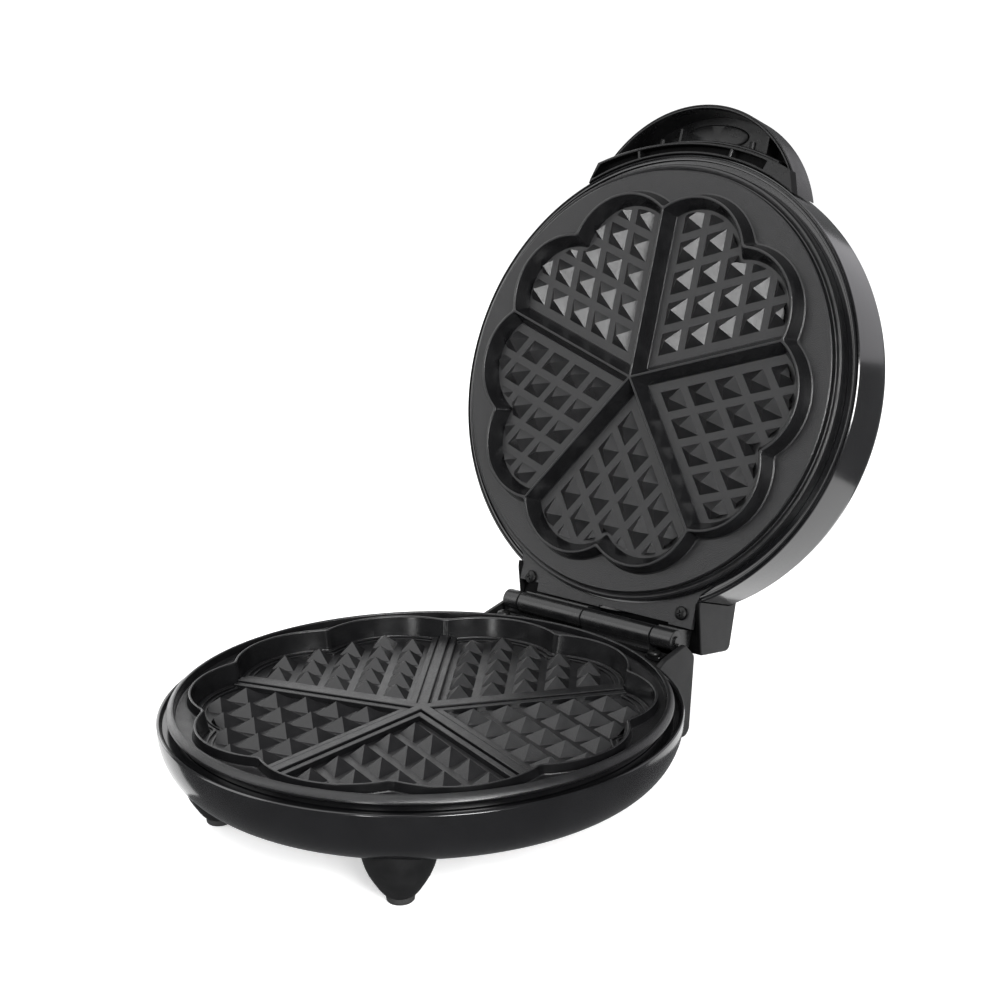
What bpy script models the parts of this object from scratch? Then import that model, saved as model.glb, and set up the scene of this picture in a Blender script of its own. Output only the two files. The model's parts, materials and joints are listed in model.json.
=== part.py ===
"""Waffle maker with a hinged lid, open at rest: one closed solid per physical piece.

Lengths below are millimetres, and every mesh is made in metres. Base pieces are
drawn about the vertical axis of the round casing, lid pieces as they lie when the
lid is closed, about the hinge axis. Two empties put both groups in place.
"""

import math

import bmesh
import bpy
from mathutils import Matrix, Vector

MM = 0.001

# Where the casing's axis stands, so that the whole object is centred on the origin.
AXIS_Y = -56.07

# Casings and plates
CASE_R = 107.5
WALL = 2.4
GAP = 0.35
RIM_Z = 44.0
LEDGE_Z = 42.8
BOWL_Z = 20.3
BOWL_FLAT_R = 88.0
BOWL_POWER = 2.15
PLATE_R = 103.4
LIP_Z = 49.7
FLOOR_Z = 39.7
CHANNEL_Z = 45.7
CHANNEL_R = 99.9

# Heart pattern: ten bulging lobes, each a circle arc about a point off the centre
LOBES = 10
LOBE_CENTRE = 58.3
LOBE_R = 37.2

# Hinge
HINGE_Y = 112.7
HINGE_Z = 50.6
OPEN_ANGLE = math.radians(108)
BARREL_R = 4.7
PIN_R = 2.0
BASE_KNUCKLES = [(-48.0, -39.6), (-1.6, 37.0)]
LID_KNUCKLES = [(-39.2, -2.0), (37.4, 48.6)]
HOUSING_HALF = 52.5
TAB_HALF = 50.0
SCREW_X = 43.5
SCREW_HEAD_R = 2.75
SCREW_SHANK_R = 1.5
HOLE_R = 1.9

# Lid, from the face of its plate towards the back
LID_FACE_ABOVE_AXIS = 1.5
LID_RIDGE = 7.2
LID_RIM_BACK = 7.1
LID_SIDE = 24.0
LID_DOME = 12.0

# Feet
FOOT_RING_R = 84.5
FOOT_ANGLE = math.radians(37.0)
FOOT_TOP_R = 14.0
FOOT_TIP_R = 5.1
FOOT_TIP_H = 3.0

# Handle, measured from the lid plate's centre
HANDLE_CENTRE = 74.0
HANDLE_R = 59.0
HANDLE_SETBACK = 6.0
HANDLE_DEPTH = 24.0
HANDLE_WALL = 2.2
BRACKET_IN_R = 108.1
BRACKET_OUT_R = 113.6
BRACKET_IN_ANGLE = math.radians(31.6)
BRACKET_OUT_ANGLE = math.radians(27.6)
BRACKET_DEEP_ANGLE = math.radians(21)

# Cord
CORD_R = 3.0
COIL_CENTRE = (-86.0, 160.0)
COIL_R = 33.2
COIL_TUBE_R = 6.1
EXIT_X = -32.0
EXIT_Z = 17.0
PLUG_TAIL = (-15.0, 136.0, 9.6)
PLUG_FRONT_X = 21.0
HOUSING_BACK_Y = 122.5
RELIEF_LENGTH = 30.0

BLACK_GLOSS = ("black_enamel", (0.012, 0.012, 0.014), 0.16, 0.0)
BLACK_PLASTIC = ("black_plastic", (0.05, 0.05, 0.052), 0.55, 0.0)
NONSTICK = ("nonstick_coating", (0.055, 0.053, 0.056), 0.38, 0.3)
RUBBER = ("black_rubber", (0.02, 0.02, 0.02), 0.8, 0.0)
STEEL = ("zinc_steel", (0.62, 0.62, 0.6), 0.3, 1.0)
DARK_STEEL = ("blackened_steel", (0.06, 0.06, 0.062), 0.35, 0.8)
ALUMINIUM = ("aluminium_sheet", (0.75, 0.75, 0.76), 0.35, 1.0)
CERAMIC = ("white_ceramic", (0.8, 0.78, 0.72), 0.5, 0.0)
CORD_PVC = ("black_pvc", (0.02, 0.02, 0.021), 0.5, 0.0)
NICKEL = ("nickel_plate", (0.72, 0.7, 0.66), 0.22, 1.0)
RED_LENS = ("red_lens", (0.5, 0.02, 0.02), 0.15, 0.0)
GREEN_LENS = ("green_lens", (0.03, 0.35, 0.06), 0.15, 0.0)


def clear_scene():
    for obj in list(bpy.data.objects):
        bpy.data.objects.remove(obj)


def material(look):
    name, colour, roughness, metallic = look
    found = bpy.data.materials.get(name)
    if found:
        return found
    made = bpy.data.materials.new(name)
    made.use_nodes = True
    shader = made.node_tree.nodes["Principled BSDF"]
    shader.inputs["Base Color"].default_value = (*colour, 1)
    shader.inputs["Roughness"].default_value = roughness
    shader.inputs["Metallic"].default_value = metallic
    return made


def empty(name, place, turn_x=0.0):
    obj = bpy.data.objects.new(name, None)
    obj.location = Vector(place) * MM
    obj.rotation_euler.x = turn_x
    bpy.context.scene.collection.objects.link(obj)
    return obj


def solid(name, points, faces, look, group, smooth=True):
    """One closed mesh object, facing out, from points in millimetres."""
    mesh = bpy.data.meshes.new(name)
    mesh.from_pydata([Vector(p) * MM for p in points], [], faces)
    work = bmesh.new()
    work.from_mesh(mesh)
    bmesh.ops.recalc_face_normals(work, faces=work.faces)
    for face in work.faces:
        face.smooth = smooth
    for edge in work.edges:
        edge.smooth = edge.calc_face_angle(0) < math.radians(35)
    work.to_mesh(mesh)
    work.free()
    obj = bpy.data.objects.new(name, mesh)
    obj.parent = group
    bpy.context.scene.collection.objects.link(obj)
    if look:
        mesh.materials.append(material(look))
    return obj


def turned(name, profile, look, group, at=(0, 0, 0), axis="Z", steps=32):
    """A body turned about an axis. Each ring of the profile is (radius, height), and a
    radius may be a function of the angle. A profile that ends off the axis closes on
    itself, as a ring does."""
    points, rings = [], []
    for radius, height in profile:
        first = len(points)
        if radius == 0:
            points.append((0, 0, height))
            rings.append([first] * steps)
            continue
        for step in range(steps):
            angle = 2 * math.pi * step / steps
            r = radius(angle) if callable(radius) else radius
            points.append((r * math.sin(angle), r * math.cos(angle), height))
        rings.append(list(range(first, first + steps)))
    pairs = list(zip(rings, rings[1:]))
    if profile[0][0] != 0:
        pairs.append((rings[-1], rings[0]))
    faces = []
    for low, high in pairs:
        for step in range(steps):
            after = (step + 1) % steps
            corners = [low[step], low[after], high[after], high[step]]
            faces.append(list(dict.fromkeys(corners)))
    spin = {
        "Z": Matrix.Identity(3),
        "X": Matrix.Rotation(math.pi / 2, 3, "Y"),
        "Y": Matrix.Rotation(-math.pi / 2, 3, "X"),
    }[axis]
    points = [spin @ Vector(p) + Vector(at) for p in points]
    return solid(name, points, faces, look, group)


def rod(name, radius, low, high, look, group, at=(0, 0, 0), axis="Z", steps=24):
    profile = [(0, low), (radius, low), (radius, high), (0, high)]
    return turned(name, profile, look, group, at, axis, steps)


def prism(name, outline, low, high, look, group, axis="Z"):
    """An outline pushed along Z, or an outline in (y, z) pushed along X."""
    count = len(outline)
    if axis == "Z":
        points = [(a, b, h) for h in (low, high) for a, b in outline]
    else:
        points = [(h, a, b) for h in (low, high) for a, b in outline]
    faces = [list(range(count)), list(range(count, 2 * count))]
    for i in range(count):
        j = (i + 1) % count
        faces.append([i, j, count + j, count + i])
    return solid(name, points, faces, look, group)


def box(name, low, high, look, group):
    outline = [(low[0], low[1]), (high[0], low[1]), (high[0], high[1]), (low[0], high[1])]
    return prism(name, outline, low[2], high[2], look, group)


def tube(name, path, radius, look, group, resolution=3):
    """A round bar along a path, with filled ends."""
    curve = bpy.data.curves.new(name, "CURVE")
    curve.dimensions = "3D"
    curve.bevel_depth = radius * MM
    curve.bevel_resolution = resolution
    curve.use_fill_caps = True
    spline = curve.splines.new("POLY")
    spline.points.add(len(path) - 1)
    for point, place in zip(spline.points, path):
        point.co = (*(Vector(place) * MM), 1)
    curve.materials.append(material(look))
    obj = bpy.data.objects.new(name, curve)
    obj.parent = group
    bpy.context.scene.collection.objects.link(obj)
    return obj


def combine(target, other, operation):
    modifier = target.modifiers.new(other.name, "BOOLEAN")
    modifier.object = other
    modifier.operation = operation
    modifier.solver = "EXACT"
    other.hide_render = True
    other.display_type = "WIRE"


def cut(target, *cutters):
    for cutter in cutters:
        combine(target, cutter, "DIFFERENCE")


def join(target, *others):
    for other in others:
        combine(target, other, "UNION")


def flower(offset):
    """The heart pattern's outline moved outwards by an offset, as a function of angle."""

    def radius(angle):
        part = 2 * math.pi / LOBES
        local = (angle % part) - part / 2
        reach = (LOBE_R + offset) ** 2 - (LOBE_CENTRE * math.sin(local)) ** 2
        return LOBE_CENTRE * math.cos(local) + math.sqrt(reach)

    return radius


def bowl_profile(grow):
    """The base casing's outside from its flat bottom up to the rim, moved out by grow."""
    rings = [(BOWL_FLAT_R + grow * 0.4, BOWL_Z - grow)]
    for part in (0.03, 0.1, 0.22, 0.38, 0.58, 0.8, 1.0):
        rise = 1 - part
        reach = (1 - rise**BOWL_POWER) ** (1 / BOWL_POWER)
        r = BOWL_FLAT_R + (CASE_R - BOWL_FLAT_R) * reach + grow
        rings.append((r, BOWL_Z + (RIM_Z - BOWL_Z) * part - grow * rise))
    return rings


def dome_profile(grow, lid_z):
    """The lid casing's outside from the side wall up over the dome, moved out by grow."""
    top = lid_z + LID_RIM_BACK + LID_SIDE
    shoulder = [(0.0, 0.0), (1.4, 4.5), (5.5, 8.4), (13.0, 10.4), (35.0, 11.5), (70.0, 11.9)]
    return [(CASE_R - inward + grow, top + up + (grow if up else 0)) for inward, up in shoulder]


def make_base_casing(base):
    outside = bowl_profile(0)
    inside = [(r - WALL, max(z, BOWL_Z + WALL)) for r, z in reversed(outside[2:-1])]
    rings = [(0, BOWL_Z), *outside, (CASE_R - 0.5, RIM_Z + 0.8), (CASE_R - 1.6, RIM_Z + 0.6)]
    rings += [(CASE_R - 2.4, RIM_Z), (CASE_R - 2.4, LEDGE_Z), (99.4, LEDGE_Z), *inside]
    rings += [(BOWL_FLAT_R - 2, BOWL_Z + WALL), (0, BOWL_Z + WALL)]
    return turned("base_casing", rings, BLACK_GLOSS, base, steps=72)


def make_base_plate(base):
    rings = [
        (0, FLOOR_Z),
        (flower(-1.5), FLOOR_Z),
        (flower(0), LIP_Z - 0.4),
        (flower(0.4), LIP_Z),
        (flower(1.0), LIP_Z),
        (flower(1.8), CHANNEL_Z + 0.1),
        (CHANNEL_R, CHANNEL_Z),
        (CHANNEL_R + 0.5, LIP_Z - 0.2),
        (CHANNEL_R + 1.6, LIP_Z - 0.1),
        (PLATE_R - 0.4, LIP_Z - 1.7),
        (PLATE_R, LIP_Z - 2.9),
        (PLATE_R, 45.6),
        (CHANNEL_R + 0.6, 45.6),
        (CHANNEL_R + 0.6, LEDGE_Z + 0.4),
        (flower(2.7), LEDGE_Z + 0.3),
        (flower(1.2), FLOOR_Z - 3),
        (0, FLOOR_Z - 3),
    ]
    plate = turned("base_plate", rings, NONSTICK, base, steps=80)
    join(plate, rib_star("base_rib_star", base, 36, 87.6, [(2.4, 38.5), (1.7, 42.7)]))
    return plate


def rib_star(name, group, first_degrees, reach, section, at=(0, 0, 0)):
    """Five ribs that meet at the centre. The section lists (half width, height)."""
    points, faces = [], []
    inner = [half / math.sin(math.radians(36)) for half, _ in section]
    for level, (half, height) in enumerate(section):
        for arm in range(5):
            angle = math.radians(first_degrees + 72 * arm)
            out = Vector((math.sin(angle), math.cos(angle), 0))
            side = Vector((out.y, -out.x, 0))
            valley = math.radians(first_degrees + 72 * arm + 36)
            root = Vector((math.sin(valley), math.cos(valley), 0)) * inner[level]
            for point in (out * reach - side * half, out * reach + side * half, root):
                points.append(Vector((point.x, point.y, height)) + Vector(at))
    count = 15
    faces.append(list(range(count)))
    faces.append(list(range(count, 2 * count)))
    for i in range(count):
        j = (i + 1) % count
        faces.append([i, j, count + j, count + i])
    return solid(name, points, faces, None, group, smooth=False)


def make_lid_plate(lid, centre):
    rings = [
        (0, 0),
        (flower(-12.0), 0),
        (flower(-8.3), -LID_RIDGE),
        (flower(-7.6), -LID_RIDGE),
        (flower(-5.0), 0),
        (98.3, 0),
        (98.6, 3.0),
        (101.0, 3.0),
        (101.9, 3.6),
        (101.9, 7.8),
        (98.8, 7.8),
        (97.4, 5.0),
        (95.0, 3.2),
        (0, 3.2),
    ]
    plate = turned("lid_plate", rings, NONSTICK, lid, at=centre, steps=80)
    section = [(4.2, 1.5), (0.4, -LID_RIDGE + 0.1)]
    join(plate, rib_star("lid_rib_star", lid, 36, 78.6, section, at=centre))
    return plate


def make_lid_casing(lid, centre):
    low = LID_RIM_BACK
    outside = [(CASE_R - 1.5, low), (CASE_R - 0.4, low + 0.9), *dome_profile(0, 0)]
    roof = low + LID_SIDE + LID_DOME
    inside = [(r - WALL, z - (WALL if i > 1 else 0)) for i, (r, z) in enumerate(outside[2:])]
    ledge = [(CASE_R - WALL, low + 3.2), (96.5, low + 3.2), (96.5, low + 1.1)]
    ledge += [(CASE_R - WALL, low + 1.1), (CASE_R - WALL, low)]
    rings = [*outside, (0, roof), (0, roof - WALL), *reversed(inside), *ledge]
    pole_at = rings.index((0, roof))
    rings = rings[pole_at + 1 :] + rings[: pole_at + 1]
    casing = turned("lid_casing", rings, BLACK_GLOSS, lid, at=centre, steps=72)
    join(casing, lid_tab(lid, centre))
    cut(casing, *[screw_hole(f"lid_tab_hole_{n}", lid, x, -11.9) for n, x in sides()])
    for side, x in (("left", -12), ("right", 12)):
        spot = (x, centre[1] - 72, 0)
        cut(casing, rod(f"lens_hole_{side}", 4 + GAP, 36, 48, None, lid, at=spot))
    return casing


def lid_tab(lid, centre):
    """The flat tab that carries the hinge, with a notch over the short base knuckle."""
    reach = CASE_R - 1.2
    half_angle = math.asin(TAB_HALF / reach)
    arc = []
    for step in range(13):
        angle = -half_angle + 2 * half_angle * step / 12
        arc.append((reach * math.sin(angle), centre[1] + reach * math.cos(angle)))
    edge, notch = -5.6, -9.6
    corner = BASE_KNUCKLES[0][1] + 0.6
    outline = [(TAB_HALF, edge), (corner, edge), (corner, notch), (-TAB_HALF, notch)]
    outline += arc
    low = centre[2] + LID_RIM_BACK + 0.2
    return prism("lid_tab", outline, low, low + 2.1, None, lid)


def sides():
    return (("left", -SCREW_X), ("right", SCREW_X))


def screw_hole(name, group, x, y, low=0.0, high=60.0):
    return rod(name, HOLE_R, low, high, None, group, at=(x, y, 0), steps=16)


def leaf(name, knuckles, group, plate_z, plate_y, screw_y):
    """Hinge leaf: a flat plate, webs and knuckles, bored for the pin."""
    low, high = (-47.7, plate_y[0], plate_z[0]), (48.2, plate_y[1], plate_z[1])
    plate = box(name, low, high, DARK_STEEL, group)
    middle = sum(plate_z) / 2
    for index, (left, right) in enumerate(knuckles):
        tag = f"{name}_knuckle_{index}"
        web_low = (left + 0.4, -3, min(0, middle))
        web_high = (right - 0.4, 3, max(0, middle))
        web = box(tag + "_web", web_low, web_high, None, group)
        barrel = rod(tag, BARREL_R, left, right, None, group, axis="X", steps=28)
        join(plate, web, barrel)
    cut(plate, rod(name + "_bore", PIN_R + GAP, -60, 60, None, group, axis="X"))
    for side, x in sides():
        cut(plate, screw_hole(f"{name}_hole_{side}", group, x, screw_y, -60, 60))
    return plate


def screw(name, x, y, seat, length, up, group):
    """A pan head screw along Z, its head on the side that up gives."""
    head = [(0, 0), (SCREW_SHANK_R, 0), (SCREW_SHANK_R, length), (SCREW_HEAD_R, length)]
    head += [(SCREW_HEAD_R, length + 0.9), (SCREW_HEAD_R * 0.7, length + 1.6), (0, length + 1.7)]
    rings = [(r, seat + up * (h - length)) for r, h in head]
    return turned(name, rings, DARK_STEEL, group, at=(x, y, 0), steps=20)


def make_base_housing(base, casing_cutter):
    outline = [(93, 9), (97, 5), (117, 5), (119.6, 7.5), (122.5, 42), (115, 49), (99, 46)]
    outline += [(93, 43)]
    ends = (-HOUSING_HALF, HOUSING_HALF)
    block = prism("base_rear_housing", outline, *ends, BLACK_PLASTIC, base, axis="X")
    inner = TAB_HALF + GAP
    seat = box("base_seat_space", (-inner, 80, 43.1), (inner, 119.4, 60), None, base)
    room = box("base_wire_space", (-49, 80, 8), (49, 117.2, 41.3), None, base)
    exit_hole = rod("exit_hole", 5.4, 110, 130, None, base, at=(EXIT_X, 0, EXIT_Z), axis="Y")
    cut(block, casing_cutter, seat, room, exit_hole)
    for side, x in sides():
        cut(block, screw_hole(f"base_hole_{side}", base, x, HINGE_Y - 9.2, 36, 60))
    return block


def make_lid_housing(lid, casing_cutter):
    outline = [(-23, 7.4), (-28, 38), (2, 41), (4, 39), (5, 17), (-16, 7.4)]
    ends = (-HOUSING_HALF, HOUSING_HALF)
    block = prism("lid_rear_housing", outline, *ends, BLACK_PLASTIC, lid, axis="X")
    inner = TAB_HALF + GAP
    seat = box("lid_seat_space", (-inner, -40, -5), (inner, 20, 13.5), None, lid)
    room = box("lid_wire_space", (-49, -40, 16.0), (49, 1.0, 37.5), None, lid)
    cut(block, casing_cutter, seat, room)
    for side, x in sides():
        cut(block, screw_hole(f"lid_hole_{side}", lid, x, -11.9))
    return block


def make_feet(base, casing_cutter):
    top = BOWL_Z + 9
    for end, turn in (("front", math.pi - FOOT_ANGLE), ("rear", FOOT_ANGLE)):
        for side, sign in (("left", -1), ("right", 1)):
            at = (sign * FOOT_RING_R * math.sin(turn), FOOT_RING_R * math.cos(turn), 0)
            foot_z = FOOT_TIP_H + GAP
            rings = [(0, top), (FOOT_TOP_R, top), (FOOT_TOP_R, 19), (FOOT_TOP_R - 1.3, 13)]
            rings += [(FOOT_TOP_R - 4.6, 7.5), (FOOT_TIP_R + 0.7, foot_z)]
            rings += [(2.4, foot_z), (2.4, 10), (0, 10)]
            foot = turned(f"foot_{end}_{side}", rings, BLACK_PLASTIC, base, at=at, steps=28)
            cut(foot, casing_cutter)
            tip = [(0, 0), (FOOT_TIP_R - 0.5, 0), (FOOT_TIP_R, 0.6), (FOOT_TIP_R, FOOT_TIP_H)]
            tip += [(2.0, FOOT_TIP_H), (2.0, 9.4), (0, 9.4)]
            turned(f"foot_tip_{end}_{side}", tip, RUBBER, base, at=at, steps=24)


def element_path(radius, centre, height, drop):
    """A ring open at the back, with both ends turned towards the terminals."""
    path = [(-9, centre[1] + radius - 12, height + drop), (-9, centre[1] + radius - 12, height)]
    for step in range(33):
        angle = math.radians(12 + 336 * step / 32)
        path.append((-radius * math.sin(angle), centre[1] + radius * math.cos(angle), height))
    path.append((9, centre[1] + radius - 12, height))
    path.append((9, centre[1] + radius - 12, height + drop))
    return path


def make_base_insides(base):
    tube("base_heating_element", element_path(62, (0, 0), 32.9, -4.5), 3.2, STEEL, base)
    dish = [(0, 24.4), (84, 24.4), (90, 27.0), (89.6, 27.8), (83.6, 25.2), (0, 25.2)]
    turned("base_heat_shield", dish, ALUMINIUM, base, steps=40)
    rod("thermostat", 8.5, 27.5, 36.3, CERAMIC, base, at=(0, 24, 0))
    rod("thermal_fuse", 2.4, -9, 9, CERAMIC, base, at=(-28, -12, 33.4), axis="X", steps=16)
    box("terminal_block", (12, 8, 26), (38, 22, 35), CERAMIC, base)
    box("cord_clamp", (EXIT_X - 8, 100, 10), (EXIT_X + 8, 108, 24), BLACK_PLASTIC, base)


def make_lid_insides(lid, centre):
    x, y, z = centre
    path = element_path(62, centre, z + 7.0, 5.0)
    tube("lid_heating_element", path, 3.2, STEEL, lid)
    dish = [(0, 17.5), (80, 17.5), (92, 15.5), (92, 16.3), (80, 18.3), (0, 18.3)]
    turned("lid_heat_shield", dish, ALUMINIUM, lid, at=centre, steps=40)
    for side, x, look in (("left", -12, RED_LENS), ("right", 12, GREEN_LENS)):
        spot = (x, y - 72, z)
        lens = [(0, 36.5), (4, 36.5), (4, 44.0), (3.2, 45.0), (0, 45.3)]
        turned(f"indicator_lens_{side}", lens, look, lid, at=spot, steps=20)
        rod(f"indicator_lamp_{side}", 2.6, 24, 36.1, CERAMIC, lid, at=spot, steps=16)


def handle_outline(inset, centre):
    """The handle seen from above: an arc that closes along the casing's side and round
    the deep part of the bracket."""
    r, near = HANDLE_R - inset, BRACKET_IN_R + inset
    lean = (near**2 - r**2 - HANDLE_CENTRE**2) / (2 * HANDLE_CENTRE)
    first = math.acos(lean / r)
    edge = math.asin(r * math.sin(first) / near)
    outline = []
    for step in range(33):
        angle = first * (1 - step / 16)
        outline.append((r * math.sin(angle), -HANDLE_CENTRE - r * math.cos(angle)))
    notch = BRACKET_DEEP_ANGLE + (GAP + inset) / BRACKET_OUT_R
    far = BRACKET_OUT_R + GAP + inset
    side = [(near, -edge + (edge - notch) * step / 2) for step in (1, 2)]
    side += [(far, notch * (step / 8 - 1)) for step in range(17)]
    side += [(near, notch + (edge - notch) * step / 2) for step in (0, 1)]
    outline += [(radius * math.sin(a), -radius * math.cos(a)) for radius, a in side]
    return [(x, centre[1] + y) for x, y in outline]


def ring_sector(inner, outer, inner_angle, outer_angle, centre, steps=14):
    """Outline of a piece of a flat ring, centred on the handle's side."""
    outline = []
    for r, half_angle in ((inner, inner_angle), (outer, -outer_angle)):
        for step in range(steps + 1):
            angle = half_angle * (2 * step / steps - 1)
            outline.append((r * math.sin(angle), centre[1] - r * math.cos(angle)))
    return outline


def make_handle(lid, centre):
    front = centre[2] + LID_RIM_BACK
    low, high = front + HANDLE_SETBACK, front + HANDLE_DEPTH
    shell = prism("handle_shell", handle_outline(0, centre), low, high, BLACK_PLASTIC, lid)
    hollow = handle_outline(HANDLE_WALL, centre)
    cut(shell, prism("handle_hollow", hollow, low - 5, high - HANDLE_WALL, None, lid))
    for index, (x, reach) in enumerate(((-13, 130.5), (33, 121.5))):
        near = math.sqrt((BRACKET_OUT_R + GAP + 1.2) ** 2 - x * x)
        rib = (x - 0.7, centre[1] - reach, low + 3), (x + 0.7, centre[1] - near, high - 1)
        join(shell, box(f"handle_rib_{index}", *rib, None, lid))
    angles = BRACKET_IN_ANGLE, BRACKET_OUT_ANGLE
    flange = ring_sector(BRACKET_IN_R, BRACKET_OUT_R, *angles, centre)
    bracket = prism("handle_bracket", flange, front + 0.6, low - GAP, BLACK_PLASTIC, lid)
    deep = ring_sector(
        BRACKET_IN_R, BRACKET_OUT_R, BRACKET_DEEP_ANGLE, BRACKET_DEEP_ANGLE, centre
    )
    join(bracket, prism("bracket_deep_part", deep, front + 2, front + 16, None, lid))
    in_r, out_r, angle = BRACKET_IN_R + 1.3, BRACKET_OUT_R - 1.3, BRACKET_DEEP_ANGLE - 0.02
    pocket = ring_sector(in_r, out_r, angle, angle, centre)
    cut(bracket, prism("bracket_channel", pocket, front - 5, front + 14.4, None, lid))
    for index, x in enumerate((-30, 20)):
        middle = math.sqrt(((in_r + out_r) / 2) ** 2 - x * x)
        web = (x - 0.8, centre[1] - middle - 2.2, front + 1.4)
        web = web, (x + 0.8, centre[1] - middle + 2.2, front + 15)
        join(bracket, box(f"bracket_web_{index}", *web, None, lid))
    return shell, bracket


def make_handle_screws(lid, centre, shell, bracket):
    for side, x in (("left", -25), ("right", 25)):
        z = centre[2] + LID_RIM_BACK + 11
        y = centre[1] - math.sqrt(BRACKET_OUT_R**2 - x * x)
        hole = rod(f"handle_hole_{side}", HOLE_R, -5, 5, None, lid, at=(x, y, z), axis="Y")
        cut(shell, hole)
        cut(bracket, hole)
        rings = [(0, -6), (SCREW_SHANK_R, -6), (SCREW_SHANK_R, 2.1), (2.1, 2.1), (2.1, 3.1)]
        rings += [(0, 3.3)]
        turned(f"handle_screw_{side}", rings, DARK_STEEL, lid, at=(x, y, z), axis="Y", steps=16)


def smooth_path(places, spacing):
    """Points every spacing along a Catmull-Rom curve through the places."""
    places = [Vector(p) for p in places]
    ends = [2 * places[0] - places[1], *places, 2 * places[-1] - places[-2]]
    fine = []
    for a, b, c, d in zip(ends, ends[1:], ends[2:], ends[3:]):
        for step in range(20):
            t = step / 20
            blend = 2 * b + (c - a) * t + (2 * a - 5 * b + 4 * c - d) * t**2
            fine.append((blend + (3 * b - a - 3 * c + d) * t**3) / 2)
    fine.append(places[-1])
    path = [fine[0]]
    for point in fine:
        if (point - path[-1]).length >= spacing:
            path.append(point)
    path[-1] = fine[-1]
    return path


def make_cord(base):
    x, z = EXIT_X, EXIT_Z
    back = HOUSING_BACK_Y - 2
    relief = [(0, -9), (5.0, -9), (5.0, 2.2), (7.0, 2.2), (7.0, 4.2), (5.2, 5.0)]
    relief += [(4.0, RELIEF_LENGTH), (0, RELIEF_LENGTH)]
    turned("strain_relief", relief, RUBBER, base, at=(x, back, z), axis="Y", steps=24)
    start = back + RELIEF_LENGTH + 0.3
    cx, cy = COIL_CENTRE
    bend = cy + COIL_R + CORD_R + 0.3 - start
    places = [(x, start, z)]
    for degrees, height in ((15, 16.6), (30, 14.8), (45, 12), (61, 8.4)):
        angle = math.radians(degrees)
        side = bend * (1 - math.cos(angle))
        places.append((x - side, start + bend * math.sin(angle), height))
    tube("power_cord", smooth_path(places, 7), CORD_R, CORD_PVC, base)
    ring = []
    for step in range(14):
        angle = 2 * math.pi * step / 14
        ring.append((COIL_R + COIL_TUBE_R * math.sin(angle), COIL_TUBE_R * math.cos(angle)))
    turned("cord_coil", ring, CORD_PVC, base, at=(cx, cy, COIL_TUBE_R + 0.1), steps=40)
    make_plug(base)


def make_plug(base):
    """The plug lies on the floor behind the housing, its blades towards +X."""
    x, y, z = PLUG_TAIL
    cx, cy = COIL_CENTRE
    places = [(cx + 37, cy - 26, 5.4), (cx + 46, cy - 27.5, 3.8), (cx + 55, y - 0.8, 4.2)]
    places += [(x - 9, y, 8.0), (x - 4, y, 9.3), (x - 0.8, y, z)]
    tube("plug_lead", smooth_path(places, 6), CORD_R, CORD_PVC, base)
    long = PLUG_FRONT_X - x
    body = [(0, 0), (4.6, 0), (5.2, 16), (6.2, 17.5), (8.6, 22), (9.2, long), (0, long)]
    turned("plug_body", body, CORD_PVC, base, at=(x, y, z), axis="X", steps=24)
    for side, offset in (("left", -6.35), ("right", 6.35)):
        low = (PLUG_FRONT_X + 0.35, y + offset - 0.75, z - 3.1)
        high = (PLUG_FRONT_X + 16.3, y + offset + 0.75, z + 3.1)
        box(f"plug_blade_{side}", low, high, NICKEL, base)


def main():
    clear_scene()
    base = empty("base_frame", (0, AXIS_Y, 0))
    hinge = empty("hinge_axis", (0, AXIS_Y + HINGE_Y, HINGE_Z))
    lid = empty("lid_hinge", (0, AXIS_Y + HINGE_Y, HINGE_Z), -OPEN_ANGLE)
    centre = (0, -HINGE_Y, LID_FACE_ABOVE_AXIS)

    make_base_casing(base)
    make_base_plate(base)
    bowl = [*bowl_profile(GAP), (CASE_R + GAP, RIM_Z + 8)]
    rings = [(0, BOWL_Z - GAP), *bowl, (0, RIM_Z + 8)]
    bowl_cutter = turned("bowl_cutter", rings, None, base, steps=72)
    make_base_housing(base, bowl_cutter)
    make_feet(base, bowl_cutter)
    make_base_insides(base)

    low = LID_RIM_BACK - 4
    dome = dome_profile(GAP, 0)
    top = LID_RIM_BACK + LID_SIDE + LID_DOME + GAP
    rings = [(0, low), (CASE_R + GAP, low), *dome, (0, top)]
    dome_cutter = turned("dome_cutter", rings, None, lid, at=centre, steps=72)
    make_lid_plate(lid, centre)
    make_lid_casing(lid, centre)
    make_lid_housing(lid, dome_cutter)
    make_lid_insides(lid, centre)
    make_handle_screws(lid, centre, *make_handle(lid, centre))

    base_leaf = leaf("base_hinge_leaf", BASE_KNUCKLES, hinge, (-7.1, -5.1), (-12.6, 5.2), -9.2)
    rings = [(0, -20), (CASE_R + GAP, -20), (CASE_R + GAP, 9), (0, 9)]
    wall = turned("wall_cutter", rings, None, hinge, at=(0, -HINGE_Y, 0), steps=72)
    cut(base_leaf, wall)
    lid_leaf = leaf("lid_hinge_leaf", LID_KNUCKLES, lid, (11.3, 13.1), (-15, 3.4), -11.9)
    cut(lid_leaf, dome_cutter)
    for side, x in sides():
        screw(f"base_hinge_screw_{side}", x, -9.2, -4.7, 8, 1, hinge)
        screw(f"lid_hinge_screw_{side}", x, -11.9, 8.2, 12, -1, lid)
    rod("hinge_pin", PIN_R, -49.6, 49.6, STEEL, hinge, axis="X")

    make_cord(base)


main()
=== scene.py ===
"""Looks of the waffle maker: detailed plates, casings, handle, hinge, feet and cord.

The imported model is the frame. Lengths are millimetres until a mesh is made, in metres.
Base pieces are drawn about the vertical axis of the round base. Lid pieces are drawn as
they lie when the lid is closed, about the hinge axis, and then opened with it.
"""

import json
import math

import bmesh
import bpy
from mathutils import Matrix, Vector


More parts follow.
